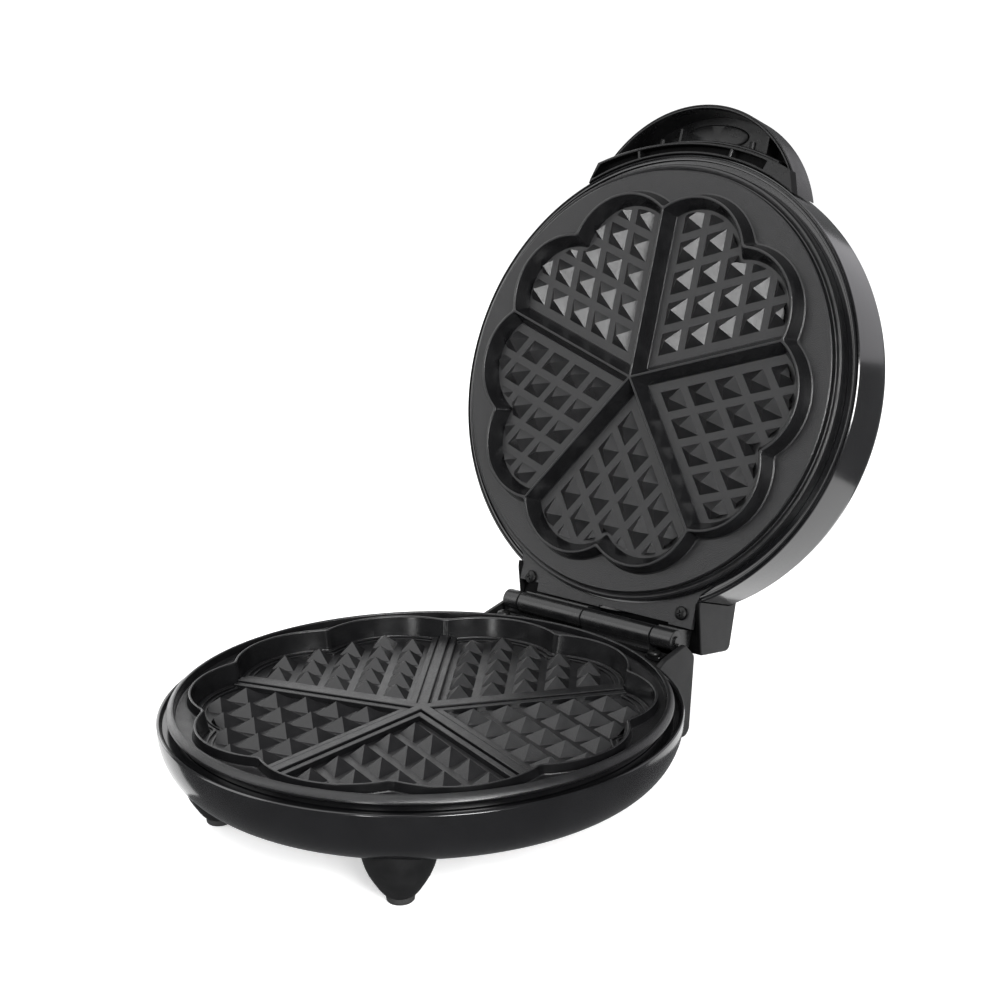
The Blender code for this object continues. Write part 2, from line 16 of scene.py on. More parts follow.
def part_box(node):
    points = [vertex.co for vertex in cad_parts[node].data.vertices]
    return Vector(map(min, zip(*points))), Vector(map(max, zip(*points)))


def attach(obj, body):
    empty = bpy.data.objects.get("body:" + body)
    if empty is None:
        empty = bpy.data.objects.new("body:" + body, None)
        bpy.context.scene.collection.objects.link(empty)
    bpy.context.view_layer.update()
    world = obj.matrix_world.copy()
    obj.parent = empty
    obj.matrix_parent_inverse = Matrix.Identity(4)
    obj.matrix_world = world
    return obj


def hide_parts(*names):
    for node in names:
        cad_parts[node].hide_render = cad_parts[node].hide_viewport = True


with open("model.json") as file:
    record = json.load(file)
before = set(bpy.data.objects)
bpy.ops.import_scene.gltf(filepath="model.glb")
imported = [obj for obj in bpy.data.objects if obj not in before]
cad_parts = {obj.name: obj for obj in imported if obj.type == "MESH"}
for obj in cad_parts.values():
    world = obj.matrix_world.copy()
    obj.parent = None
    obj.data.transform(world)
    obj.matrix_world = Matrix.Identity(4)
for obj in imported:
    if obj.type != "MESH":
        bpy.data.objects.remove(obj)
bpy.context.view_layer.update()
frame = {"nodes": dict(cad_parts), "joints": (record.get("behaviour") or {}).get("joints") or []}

MM = 0.001


def box_mm(node):
    low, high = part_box(node)
    return low / MM, high / MM


# Places and sizes taken from the frame
HINGE = Vector(frame["joints"][0]["pos_m"])
OPEN_ANGLE = math.radians(frame["joints"][0]["range_deg"][1])
CASING_LOW, CASING_HIGH = box_mm("base_casing")
CASE_R = (CASING_HIGH.x - CASING_LOW.x) / 2
AXIS_Y = (CASING_LOW.y + CASING_HIGH.y) / 2
HINGE_Y = HINGE.y / MM - AXIS_Y
BOWL_Z = CASING_LOW.z
LIP_Z = box_mm("base_plate")[1].z
PLATE_R = (box_mm("base_plate")[1].x - box_mm("base_plate")[0].x) / 2
LID_PLATE_R = (box_mm("lid_plate")[1].x - box_mm("lid_plate")[0].x) / 2
HOUSING_HALF = box_mm("lid_rear_housing")[1].x

BASE_FRAME = Matrix.Translation((0, AXIS_Y * MM, 0))
HINGE_FRAME = Matrix.Translation(HINGE)
LID_FRAME = HINGE_FRAME @ Matrix.Rotation(-OPEN_ANGLE, 4, "X")
LID_FACE_ABOVE_AXIS = 1.5
LID_CENTRE = Vector((0, -HINGE_Y, LID_FACE_ABOVE_AXIS))

# Free space between neighbours, and how every mesh is finished
GAP = 0.35
MERGE_DISTANCE = 1e-7
SHARP_DEGREES = 32
PLATE_SHARP_DEGREES = 28
WALL_STEEPNESS = 0.3
LID_WALL_STEEPNESS = 0.6

# Base: rim and bowl
RIM_Z = CASING_HIGH.z - 0.8
BOWL_FLAT_R = 88.0
BOWL_POWER = 2.15

# Plates. The heart pattern has ten lobes, each a circle arc about a point off the centre
LOBES = 10
LOBE_CENTRE = 58.3
LOBE_R = 37.2
CUSP_FACET = 0.55
FLOOR_Z = LIP_Z - 10.0
BASE_CHANNEL_Z = LIP_Z - 4.0
CHANNEL_R = 99.9
LEDGE_Z = 42.8
FIRST_RIB = 36
HEART_TURN = 72
BASE_RIB_REACH = 86.4
LID_RIB_REACH = 79.0
GRID_REACH = 96
GRID_PITCH = 14.2
BASE_GROOVE = 3.2
LID_GROOVE = 3.7
PYRAMID_H = 4.6

# Lid
LID_RIDGE = 7.2
LID_RIM_BACK = 7.1
LID_SIDE = 24.0
LID_DOME = 12.0
LENS_X = 12
LENS_Y = -72

# Hinge
BARREL_R = 4.7
BASE_KNUCKLES = [(-48.0, -39.6), (-1.6, 37.0)]
LID_KNUCKLES = [(-39.2, -2.0), (37.4, 48.6)]
TAB_HALF = 50.0
SCREW_X = 43.5

# Handle
HANDLE_CENTRE = 74.0
HANDLE_R = 59.0
HANDLE_DEPTH = 24.0
HANDLE_SETBACK = 6.0
BRACKET_IN_R = 108.1
BRACKET_OUT_R = 113.6
BRACKET_DEEP_ANGLE = math.radians(21)

# Feet
FOOT_RING_R = 84.5
FOOT_ANGLE = math.radians(37.0)

# Cord: the same route as its solids
CORD_R = 3.0
COIL_CENTRE = Vector((-86.0, 160.0, 0))
COIL_R = 33.2
CORD_EXIT = Vector((-32.0, 150.8, 17.0))
PLUG_TAIL = Vector((-15.0, 136.0, 9.6))
PLUG_FRONT_X = 21.0
BLADE_LENGTH = 16.3
BLADE_OFFSET = 6.35
BLADE_HALF = 0.75

# Camera: degrees, a lens in millimetres, distances in metres
CAMERA_AZIMUTH = 40.41
CAMERA_ELEVATION = 14.67
CAMERA_ROLL = -0.4
CAMERA_LENS = 58.6
CAMERA_DISTANCE = 0.656
AIM_RIGHT = 0.0326
AIM_UP = 0.0289


# ---------------------------------------------------------------- materials


def node_maker(tree):
    def make(kind, **values):
        node = tree.nodes.new(kind)
        for key, value in values.items():
            setattr(node, key, value)
        return node

    return make


def surface(
    name, dark, light, rough, metallic=0.0, scale=60.0, bump=0.05, grain=900.0, coat=0.0,
    specular=0.5,
):
    """A moulded or coated surface: two close tones, uneven gloss and a fine grain.
    dark and light are colours, rough a (low, high) pair."""
    made = bpy.data.materials.new(name)
    made.use_nodes = True
    tree = made.node_tree
    shader = tree.nodes["Principled BSDF"]
    make, link = node_maker(tree), tree.links.new
    place = make("ShaderNodeTexCoord")
    cloud = make("ShaderNodeTexNoise")
    cloud.inputs["Scale"].default_value = scale
    cloud.inputs["Detail"].default_value = 5
    link(place.outputs["Object"], cloud.inputs["Vector"])
    tone = make("ShaderNodeValToRGB")
    tone.color_ramp.elements[0].position = 0.35
    tone.color_ramp.elements[1].position = 0.68
    tone.color_ramp.elements[0].color = (*dark, 1)
    tone.color_ramp.elements[1].color = (*light, 1)
    link(cloud.outputs["Fac"], tone.inputs["Fac"])
    link(tone.outputs["Color"], shader.inputs["Base Color"])
    gloss = make("ShaderNodeMapRange")
    gloss.inputs["From Min"].default_value = 0.3
    gloss.inputs["From Max"].default_value = 0.7
    gloss.inputs["To Min"].default_value = rough[0]
    gloss.inputs["To Max"].default_value = rough[1]
    link(cloud.outputs["Fac"], gloss.inputs["Value"])
    link(gloss.outputs["Result"], shader.inputs["Roughness"])
    shader.inputs["Metallic"].default_value = metallic
    shader.inputs["Specular IOR Level"].default_value = specular
    if coat:
        shader.inputs["Coat Weight"].default_value = coat
        shader.inputs["Coat Roughness"].default_value = 0.08
    fine = make("ShaderNodeTexNoise")
    fine.inputs["Scale"].default_value = grain
    fine.inputs["Detail"].default_value = 3
    link(place.outputs["Object"], fine.inputs["Vector"])
    relief = make("ShaderNodeBump")
    relief.inputs["Strength"].default_value = bump
    relief.inputs["Distance"].default_value = 0.0004
    link(fine.outputs["Fac"], relief.inputs["Height"])
    link(relief.outputs["Normal"], shader.inputs["Normal"])
    return made


LOOKS = {
    "black_enamel": surface(
        "black_enamel", (0.004, 0.004, 0.0044), (0.006, 0.006, 0.0066), (0.12, 0.19),
        bump=0.02, coat=0.25,
    ),
    "nonstick": surface(
        "nonstick", (0.005, 0.005, 0.0054), (0.0085, 0.0083, 0.009), (0.28, 0.38), 0.0,
        scale=180, bump=0.42, grain=2100,
    ),
    # Painted shade: a darker, less glossy copy of the non-stick coating, given only to steep faces
    # so that the walls read dark
    "nonstick_painted_shade_wall": surface(
        "nonstick_painted_shade_wall", (0.004, 0.004, 0.0043), (0.006, 0.006, 0.0064), (0.17, 0.24), 0.0,
        scale=120, bump=0.06, grain=2200, specular=0.35,
    ),
    "black_plastic": surface(
        "black_plastic", (0.0055, 0.0055, 0.0058), (0.0085, 0.0085, 0.0089), (0.4, 0.5),
        scale=140, bump=0.3, grain=3200, specular=0.25,
    ),
    "handle_plastic": surface(
        "handle_plastic", (0.003, 0.003, 0.0032), (0.005, 0.005, 0.0053), (0.24, 0.34),
        scale=90, bump=0.12, grain=3000, specular=0.35,
    ),
    # Painted shade: a near-black plastic with almost no gloss, given to faces that stand for
    # shadow, inside the grip's bracket and on the lid housing's front faces
    "painted_shade_plastic": surface(
        "painted_shade_plastic", (0.0012, 0.0012, 0.0013), (0.002, 0.002, 0.0021), (0.4, 0.5),
        scale=90, bump=0.12, grain=3000, specular=0.06,
    ),
    "screw_black": surface(
        "screw_black", (0.0015, 0.0015, 0.0016), (0.003, 0.003, 0.003), (0.3, 0.4),
        scale=200, bump=0.05, grain=2600, specular=0.3,
    ),
    "dark_steel": surface(
        "dark_steel", (0.004, 0.004, 0.0043), (0.007, 0.007, 0.0073), (0.2, 0.3), 0.0,
        scale=150, bump=0.06, grain=1800,
    ),
    "steel": surface(
        "steel", (0.5, 0.5, 0.5), (0.64, 0.64, 0.63), (0.22, 0.36), 1.0, scale=220, bump=0.05
    ),
    "aluminium": surface(
        "aluminium", (0.62, 0.62, 0.63), (0.74, 0.74, 0.75), (0.3, 0.45), 1.0, scale=160
    ),
    "ceramic": surface(
        "ceramic", (0.7, 0.68, 0.62), (0.8, 0.78, 0.72), (0.45, 0.6), scale=120, bump=0.15
    ),
    "rubber": surface(
        "rubber", (0.016, 0.016, 0.016), (0.026, 0.026, 0.026), (0.7, 0.85), scale=90, bump=0.3
    ),
    "cord_pvc": surface(
        "cord_pvc", (0.014, 0.014, 0.015), (0.021, 0.021, 0.022), (0.38, 0.5), scale=80, bump=0.1
    ),
    "nickel": surface(
        "nickel", (0.6, 0.58, 0.54), (0.72, 0.7, 0.66), (0.16, 0.3), 1.0, scale=260, bump=0.04
    ),
    "red_lens": surface("red_lens", (0.35, 0.01, 0.01), (0.5, 0.02, 0.02), (0.08, 0.14), coat=0.6),
    "green_lens": surface(
        "green_lens", (0.02, 0.26, 0.04), (0.03, 0.36, 0.07), (0.08, 0.14), coat=0.6
    ),
}


# ---------------------------------------------------------------- mesh helpers


def put(name, data):
    """A new object in the scene."""
    obj = bpy.data.objects.new(name, data)
    bpy.context.scene.collection.objects.link(obj)
    return obj


def solid_mesh(name, shape, merge):
    """A mesh in metres from a shape in millimetres, with its faces turned outwards."""
    mesh = bpy.data.meshes.new(name)
    mesh.from_pydata([p * MM for p in shape.points], [], shape.faces)
    work = bmesh.new()
    work.from_mesh(mesh)
    if merge:
        bmesh.ops.remove_doubles(work, verts=work.verts, dist=MERGE_DISTANCE)
    bmesh.ops.recalc_face_normals(work, faces=work.faces)
    work.to_mesh(mesh)
    work.free()
    return mesh


def shade_evenly(obj):
    smoother = obj.modifiers.new("even_shading", "WEIGHTED_NORMAL")
    smoother.keep_sharp = True


def piece(
    name, shape, look, body, place, replaces=(), sharp=SHARP_DEGREES, looks=(),
    steep=WALL_STEEPNESS,
):
    """A finished piece of the model, drawn in the frame of place. Walls, whose normals
    rise less than steep, take the first of the extra looks."""
    mesh = solid_mesh(name, shape, merge=True)
    mesh.shade_smooth()
    mesh.set_sharp_from_angle(angle=math.radians(sharp))
    obj = put(name, mesh)
    mesh.materials.append(LOOKS[look])
    for extra in looks:
        mesh.materials.append(LOOKS[extra])
    if looks:
        # Steep faces take the first extra look; on the plates it is a darker copy of the coating
        # that paints shade on the walls
        for face in mesh.polygons:
            face.material_index = 1 if abs(face.normal.z) < steep else 0
    obj.matrix_world = place
    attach(obj, body)
    shade_evenly(obj)
    if replaces:
        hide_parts(*replaces)
    return obj


class Shape:
    """Points and faces gathered from several simple forms."""

    def __init__(self):
        self.points = []
        self.faces = []

    def add(self, points, faces):
        first = len(self.points)
        self.points += [Vector(p) for p in points]
        self.faces += [[first + i for i in face] for face in faces]
        return self

    def join(self, other):
        return self.add(other.points, other.faces)

    def moved(self, matrix):
        self.points = [matrix @ p for p in self.points]
        return self


def even_angles(steps):
    return [2 * math.pi * step / steps for step in range(steps)]


def loft(profile, angles):
    """Rings round the Z axis. A radius of 0 is a pole, and may be a function of angle."""
    shape, rings, count = Shape(), [], len(angles)
    for radius, height in profile:
        first = len(shape.points)
        if radius == 0:
            shape.points.append(Vector((0, 0, height)))
            rings.append([first] * count)
            continue
        for angle in angles:
            r = radius(angle) if callable(radius) else radius
            shape.points.append(Vector((r * math.sin(angle), r * math.cos(angle), height)))
        rings.append(list(range(first, first + count)))
    for low, high in zip(rings, rings[1:]):
        for step in range(count):
            after = (step + 1) % count
            corners = [low[step], low[after], high[after], high[step]]
            shape.faces.append(list(dict.fromkeys(corners)))
    return shape


def skin(outlines, heights):
    """Walls between outlines of equal count, each at its own height, closed at both ends."""
    shape, count = Shape(), len(outlines[0])
    for outline, height in zip(outlines, heights):
        shape.points += [Vector((x, y, height)) for x, y in outline]
    for ring in range(len(outlines) - 1):
        for i in range(count):
            j = (i + 1) % count
            a, b = ring * count, (ring + 1) * count
            shape.faces.append([a + i, a + j, b + j, b + i])
    last = (len(outlines) - 1) * count
    shape.faces += [list(range(count)), list(range(last, last + count))]
    return shape


def rounded(outline, radius, steps=5):
    """The outline with each corner replaced by an arc. radius may be a list."""
    result, count = [], len(outline)
    for i, corner in enumerate(outline):
        corner = Vector(corner)
        before = Vector(outline[i - 1]) - corner
        after = Vector(outline[(i + 1) % count]) - corner
        r = radius[i] if isinstance(radius, (list, tuple)) else radius
        reach = min(r, before.length * 0.45, after.length * 0.45)
        start, end = corner + before.normalized() * reach, corner + after.normalized() * reach
        for step in range(steps + 1):
            t = step / steps
            result.append(start * (1 - t) ** 2 + corner * 2 * t * (1 - t) + end * t**2)
    return [(p.x, p.y) for p in result]


def shrunk(outline, amount):
    """The outline moved inwards along the mean of its two edges' normals."""
    count, result = len(outline), []
    area = sum(
        a[0] * b[1] - b[0] * a[1] for a, b in zip(outline, outline[1:] + outline[:1])
    )
    turn = 1 if area > 0 else -1
    for i, point in enumerate(outline):
        a, b = Vector(outline[i - 1]), Vector(outline[(i + 1) % count])
        along = (b - a).normalized()
        normal = Vector((-along.y, along.x)) * turn
        result.append(tuple(Vector(point) + normal * amount))
    return result


def slab(outline, low, high, edge=0.8, steps=3):
    """A solid from an outline, with rounded edges top and bottom."""
    outlines, heights = [], []
    for step in range(steps + 1):
        angle = math.pi / 2 * step / steps
        outlines.append(shrunk(outline, edge * (1 - math.sin(angle))))
        heights.append(low + edge * (1 - math.cos(angle)))
    for step in range(steps + 1):
        angle = math.pi / 2 * (1 - step / steps)
        outlines.append(shrunk(outline, edge * (1 - math.sin(angle))))
        heights.append(high - edge * (1 - math.cos(angle)))
    return skin(outlines, heights)


def box_shape(low, high):
    xs, ys, zs = zip(low, high)
    corners = [(x, y, z) for z in zs for y in ys for x in xs]
    faces = [(0, 1, 3, 2), (4, 5, 7, 6), (0, 1, 5, 4), (2, 3, 7, 6), (0, 2, 6, 4), (1, 3, 7, 5)]
    return Shape().add(corners, faces)


AXES = {
    "X": Matrix.Rotation(math.pi / 2, 4, "Y"),
    "Y": Matrix.Rotation(-math.pi / 2, 4, "X"),
    "Z": Matrix.Identity(4),
}


def placed(shape, at=(0, 0, 0), axis="Z"):
    return shape.moved(Matrix.Translation(Vector(at)) @ AXES[axis])


def carve(obj, place, *shapes):
    """Cuts shapes out of a piece, one after another, and keeps the result as its mesh."""
    for shape in shapes:
        cutter = put("cutter", solid_mesh("cutter", shape, merge=False))
        cutter.matrix_world = place
        obj.modifiers.clear()
        modifier = obj.modifiers.new("carve", "BOOLEAN")
        modifier.object = cutter
        modifier.operation = "DIFFERENCE"
        modifier.solver = "EXACT"
        bpy.context.view_layer.update()
        graph = bpy.context.evaluated_depsgraph_get()
        mesh = bpy.data.meshes.new_from_object(obj.evaluated_get(graph))
        obj.modifiers.clear()
        obj.data = mesh
        mesh.set_sharp_from_angle(angle=math.radians(SHARP_DEGREES))
        shade_evenly(obj)
        bpy.data.objects.remove(cutter)


# ---------------------------------------------------------------- camera and cord


def put_camera():
    """A long lens from the front right, a little above the plates."""
    azimuth, elevation = math.radians(CAMERA_AZIMUTH), math.radians(CAMERA_ELEVATION)
    back = Vector((
        math.sin(azimuth) * math.cos(elevation),
        -math.cos(azimuth) * math.cos(elevation),
        math.sin(elevation),
    ))
    right = Vector((math.cos(azimuth), math.sin(azimuth), 0))
    up = back.cross(right)
    target = Vector((0, AXIS_Y, 100)) * MM + right * AIM_RIGHT + up * AIM_UP
    data = bpy.data.cameras.new("camera")
    data.lens = CAMERA_LENS
    data.sensor_width = 36
    data.clip_start = 0.01
    camera = put("camera", data)
    turn = Matrix((right, up, back)).transposed().to_4x4()
    turn = turn @ Matrix.Rotation(math.radians(CAMERA_ROLL), 4, "Z")
    camera.matrix_world = Matrix.Translation(target + back * CAMERA_DISTANCE) @ turn
    bpy.context.scene.camera = camera


def spline_through(places, spacing):
    """A smooth path through the places, as points about spacing apart."""
    places = [Vector(p) for p in places]
    ends = [2 * places[0] - places[1], *places, 2 * places[-1] - places[-2]]
    fine = []
    for a, b, c, d in zip(ends, ends[1:], ends[2:], ends[3:]):
        for step in range(24):
            t = step / 24
            blend = 2 * b + (c - a) * t + (2 * a - 5 * b + 4 * c - d) * t**2
            fine.append((blend + (3 * b - a - 3 * c + d) * t**3) / 2)
    fine.append(places[-1])
    path = [fine[0]]
    for point in fine:
        if (point - path[-1]).length >= spacing:
            path.append(point)
    path[-1] = fine[-1]
    return path


def cord_route():
    """Out of the strain relief, down to the floor, three turns, and on to the plug."""
    start, centre = CORD_EXIT, COIL_CENTRE
    bend = centre.y + COIL_R + CORD_R + 0.3 - start.y
    places = [start]
    for degrees, height in ((15, 16.6), (30, 14.8), (45, 12.0), (61, 8.4), (75, 5.2)):
        angle = math.radians(degrees)
        side = bend * (1 - math.cos(angle))
        places.append(Vector((start.x - side, start.y + bend * math.sin(angle), height)))
    turns = [
        (90, 36.2, 3.3), (180, 36.3, 3.2), (270, 36.3, 3.2), (360, 36.3, 3.2), (420, 36.0, 3.3),
        (480, 33.2, 4.3), (540, 30.2, 3.3), (630, 30.0, 3.2), (720, 30.0, 3.2), (780, 30.2, 3.6),
        (840, 32.0, 6.8), (900, 33.1, 8.6), (990, 33.2, 8.6), (1080, 33.2, 8.6), (1170, 33.2, 8.6),
        (1260, 33.3, 8.7), (1320, 33.4, 9.2),
    ]
    for (a, r0, z0), (b, r1, z1) in zip(turns, turns[1:]):
        for step in range(max(2, round((b - a) / 15))):
            t = step / max(2, round((b - a) / 15))
            angle = math.radians(a + (b - a) * t)
            r = r0 + (r1 - r0) * t
            z = z0 + (z1 - z0) * t
            places.append(centre + Vector((r * math.cos(angle), r * math.sin(angle), z)))
    x, y, z = PLUG_TAIL
    places += [centre + Vector((-10, -31.6, 9.6)), centre + Vector((6, -33.4, 9.6))]
    places += [centre + Vector((22, -31.4, 8.2)), centre + Vector((37, -28, 5.2))]
    places += [Vector((x - 25, y - 1.6, 3.9)), Vector((x - 15, y - 0.2, 5.4))]
    places += [Vector((x - 7, y, 8.6)), Vector((x + 2, y, z))]
    return spline_through(places, 2.6)


def make_cord():
    data = bpy.data.curves.new("cord", "CURVE")
    data.dimensions = "3D"
    data.bevel_depth = CORD_R * MM
    data.bevel_resolution = 6
    data.use_fill_caps = True
    route = cord_route()
    line = data.splines.new("POLY")
    line.points.add(len(route) - 1)
    for point, place in zip(line.points, route):
        point.co = (*((place + Vector((0, AXIS_Y, 0))) * MM), 1)
    data.materials.append(LOOKS["cord_pvc"])
    obj = put("cord", data)
    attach(obj, "base")
    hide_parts("power_cord", "cord_coil", "plug_lead")
    return obj


def make_relief_and_plug():
    """The tapered strain relief at the base housing, and the plug at the other end."""
    x, y, z = CORD_EXIT
    back = y - 30.3
    relief = [(0, -9), (5, -9), (5, 2.2), (6.4, 2.2), (7.0, 2.8), (7.0, 3.6), (6.4, 4.2)]
    for ring in range(5):
        low = 5.2 + ring * 4.6
        wide = 5.3 - ring * 0.28
        relief += [(wide - 1.1, low), (wide, low + 0.6), (wide, low + 2.9), (wide - 1.1, low + 3.5)]
    relief += [(3.9, 29), (3.4, 30), (0, 30)]
    shape = placed(loft(relief, even_angles(40)), (x, back, z), "Y")
    piece("cord_relief", shape, "rubber", "base", BASE_FRAME, ["strain_relief"])
    return make_plug()


def make_plug():
    """Two-blade plug: ribbed relief, shoulder, flattened grip and a wide front flange."""
    x, y, z = PLUG_TAIL
    tail = []
    for ring in range(4):
        low = ring * 3.6
        wide = 4.1 + ring * 0.28
        tail += [(wide - 0.9, low), (wide, low + 0.5), (wide, low + 2.2), (wide - 0.9, low + 2.8)]
    tail = [(0, 0), *tail, (5.4, 15.4), (5.6, 17.0), (0, 17.0)]
    shape = placed(loft(tail, even_angles(36)), (x, y, z), "X")
    long = PLUG_FRONT_X - x
    stations = [
        (16.2, 5.6, 4.6), (17.5, 6.6, 5.2), (20, 7.4, 6.0), (24, 7.8, 6.6), (28.5, 8.2, 7.0),
        (30.5, 8.8, 7.6), (31.4, 9.2, 8.6), (33, 9.3, 9.0), (long - 1, 9.3, 9.0), (long, 8.7, 8.4),
    ]
    points, faces, count = [], [], 40
    for along, wide, tall in stations:
        for angle in even_angles(count):
            s, c = math.sin(angle), math.cos(angle)
            py = wide * math.copysign(abs(c) ** 0.75, c)
            pz = tall * math.copysign(abs(s) ** 0.75, s)
            points.append((x + along, y + py, z + pz))
    for ring in range(len(stations) - 1):
        for i in range(count):
            j = (i + 1) % count
            a, b = ring * count, (ring + 1) * count
            faces.append([a + i, a + j, b + j, b + i])
    faces.append(list(range(count)))
    faces.append(list(range((len(stations) - 1) * count, len(stations) * count)))
    shape.add(points, faces)
    plug = piece("plug", shape, "cord_pvc", "base", BASE_FRAME, ["plug_body"])
    blades = []
    for side, offset in (("left", -BLADE_OFFSET), ("right", BLADE_OFFSET)):
        front = PLUG_FRONT_X + BLADE_LENGTH
        outline = [(PLUG_FRONT_X - 2, z - 3.1), (front - 1.6, z - 3.1), (front, z - 1.9)]
        outline += [(front, z + 1.9), (front - 1.6, z + 3.1), (PLUG_FRONT_X - 2, z + 3.1)]
        blade = slab(outline, y + offset - BLADE_HALF, y + offset + BLADE_HALF, 0.2, 1)
        swap = Matrix(((1, 0, 0, 0), (0, 0, 1, 0), (0, 1, 0, 0), (0, 0, 0, 1)))
        blade.moved(swap)
        made = piece(f"blade_{side}", blade, "nickel", "base", BASE_FRAME, [f"plug_blade_{side}"])
        hole = placed(loft([(0, -2), (1.6, -2), (1.6, 2), (0, 2)], even_angles(20)),
                      (front - 4.6, y + offset, z), "Y")
        carve(made, BASE_FRAME, hole)
        blades.append(made)
    return [plug, *blades]


# ---------------------------------------------------------------- plates


def flower(offset):
    """The heart pattern's outline moved outwards by an offset. The inward points of the
    outline carry a narrow flat."""

    def radius(angle):
        part = 2 * math.pi / LOBES
        local = (angle % part) - part / 2
        reach = (LOBE_R + offset) ** 2 - (LOBE_CENTRE * math.sin(local)) ** 2
        arc = LOBE_CENTRE * math.cos(local) + math.sqrt(reach)
        edge = part / 2
        tip = (LOBE_R + offset) ** 2 - (LOBE_CENTRE * math.sin(edge)) ** 2
        tip = LOBE_CENTRE * math.cos(edge) + math.sqrt(tip)
        return max(arc, (tip + CUSP_FACET) / math.cos(edge - abs(local)))

    return radius


def lobe_angles():
    """Angles that crowd round the inward points, where the outline turns sharply."""
    half = [0, 0.35, 0.66, 1.1, 1.8, 2.8, 4.2, 6, 8, 10, 12, 14, 16]
    part = [*half, 18, *(36 - a for a in reversed(half[1:]))]
    return [math.radians(36 * lobe + a) for lobe in range(LOBES) for a in part]


def clip(polygon, point, normal):
    """The part of a 3-D polygon on the side of a vertical plane that normal points to,
    and the ends of the new edge along the plane."""
    kept, crossed, count = [], [], len(polygon)
    for i in range(count):
        a, b = polygon[i], polygon[(i + 1) % count]
        da = (a.x - point[0]) * normal[0] + (a.y - point[1]) * normal[1]
        db = (b.x - point[0]) * normal[0] + (b.y - point[1]) * normal[1]
        if da >= 0:
            kept.append(a)
        if (da > 0) != (db > 0):
            cross = a + (b - a) * (da / (da - db))
            kept.append(cross)
            crossed.append(cross)
    return kept, crossed


def heading(degrees):
    angle = math.radians(degrees)
    return Vector((math.sin(angle), math.cos(angle), 0))


def lobe_planes(rib, side, rib_half, inset):
    """The region of one lobe as vertical planes: clear of its rib, on its own side of the
    heart's notch line, and inside its arc. The flag says that a cut there needs a wall."""
    along, notch = heading(rib), heading(rib + 36 * side)
    across = Vector((along.y, -along.x, 0)) * side
    planes = [(across * rib_half, across, True)]
    past = Vector((notch.y, -notch.x, 0)) * -side
    planes.append((Vector((0, 0, 0)), past, False))
    middle = rib + 18 * side
    centre = heading(middle) * LOBE_CENTRE
    for step in range(-8, 9):
        out = heading(middle + step * 12)
        planes.append((centre + out * (LOBE_R + inset), -out, True))
    return planes


def pyramids(low, high, rib_half, inset, groove, spill=math.inf):
    """Small four-sided pyramids in a lattice that follows the two ribs of each heart. One
    whose tip lies further than spill outside the lobe is left out."""
    shape = Shape()
    half = (GRID_PITCH - groove / math.sin(math.radians(HEART_TURN))) / 2
    for rib in range(FIRST_RIB, FIRST_RIB + 360, HEART_TURN):
        e1, e2 = heading(rib), heading(rib + HEART_TURN)
        for i in range(1, 7):
            for j in range(1, 7):
                apex = (e1 * i + e2 * j) * GRID_PITCH
                if apex.length > GRID_REACH:
                    continue
                corners = [apex + e1 * a * half + e2 * b * half for a, b in
                           ((1, 1), (1, -1), (-1, -1), (-1, 1))]
                for side, first in ((1, rib), (-1, rib + HEART_TURN)):
                    planes = lobe_planes(first, side, rib_half, inset)
                    inside = [(apex - at).dot(normal) for at, normal, walled in planes if walled]
                    if min(inside) < -spill:
                        continue
                    add_pyramid(shape, apex, corners, low, high, planes)
    return shape


def add_pyramid(shape, apex, corners, low, high, planes):
    top = Vector((apex.x, apex.y, high))
    feet = [Vector((c.x, c.y, low)) for c in corners]
    for a, b in zip(feet, feet[1:] + feet[:1]):
        polygon, walls = [top, a, b], []
        for point, normal, walled in planes:
            polygon, crossed = clip(polygon, point, normal)
            if walled and len(crossed) == 2:
                walls.append(crossed)
            if len(polygon) < 3:
                break
        if len(polygon) < 3:
            continue
        shape.add(polygon, [list(range(len(polygon)))])
        for p, q in walls:
            if p in polygon and q in polygon:
                down = [Vector((q.x, q.y, low)), Vector((p.x, p.y, low))]
                shape.add([p, q, *down], [[0, 1, 2, 3]])


def rib_arms(section, reach):
    """Five ribs that meet in a mitred star. The section lists (offset from the middle,
    height) of one half."""
    shape = Shape()
    line = [(-s, z) for s, z in reversed(section)] + list(section)
    for arm in range(5):
        along = heading(FIRST_RIB + HEART_TURN * arm)
        across = Vector((along.y, -along.x, 0))
        points = []
        for end in (0, 1):
            for s, z in line:
                distance = reach if end else abs(s) / math.tan(math.radians(HEART_TURN / 2))
                p = along * distance + across * s
                points.append((p.x, p.y, z))
        count = len(line)
        faces = [[i, i + 1, count + i + 1, count + i] for i in range(count - 1)]
        shape.add(points, faces)
    return shape


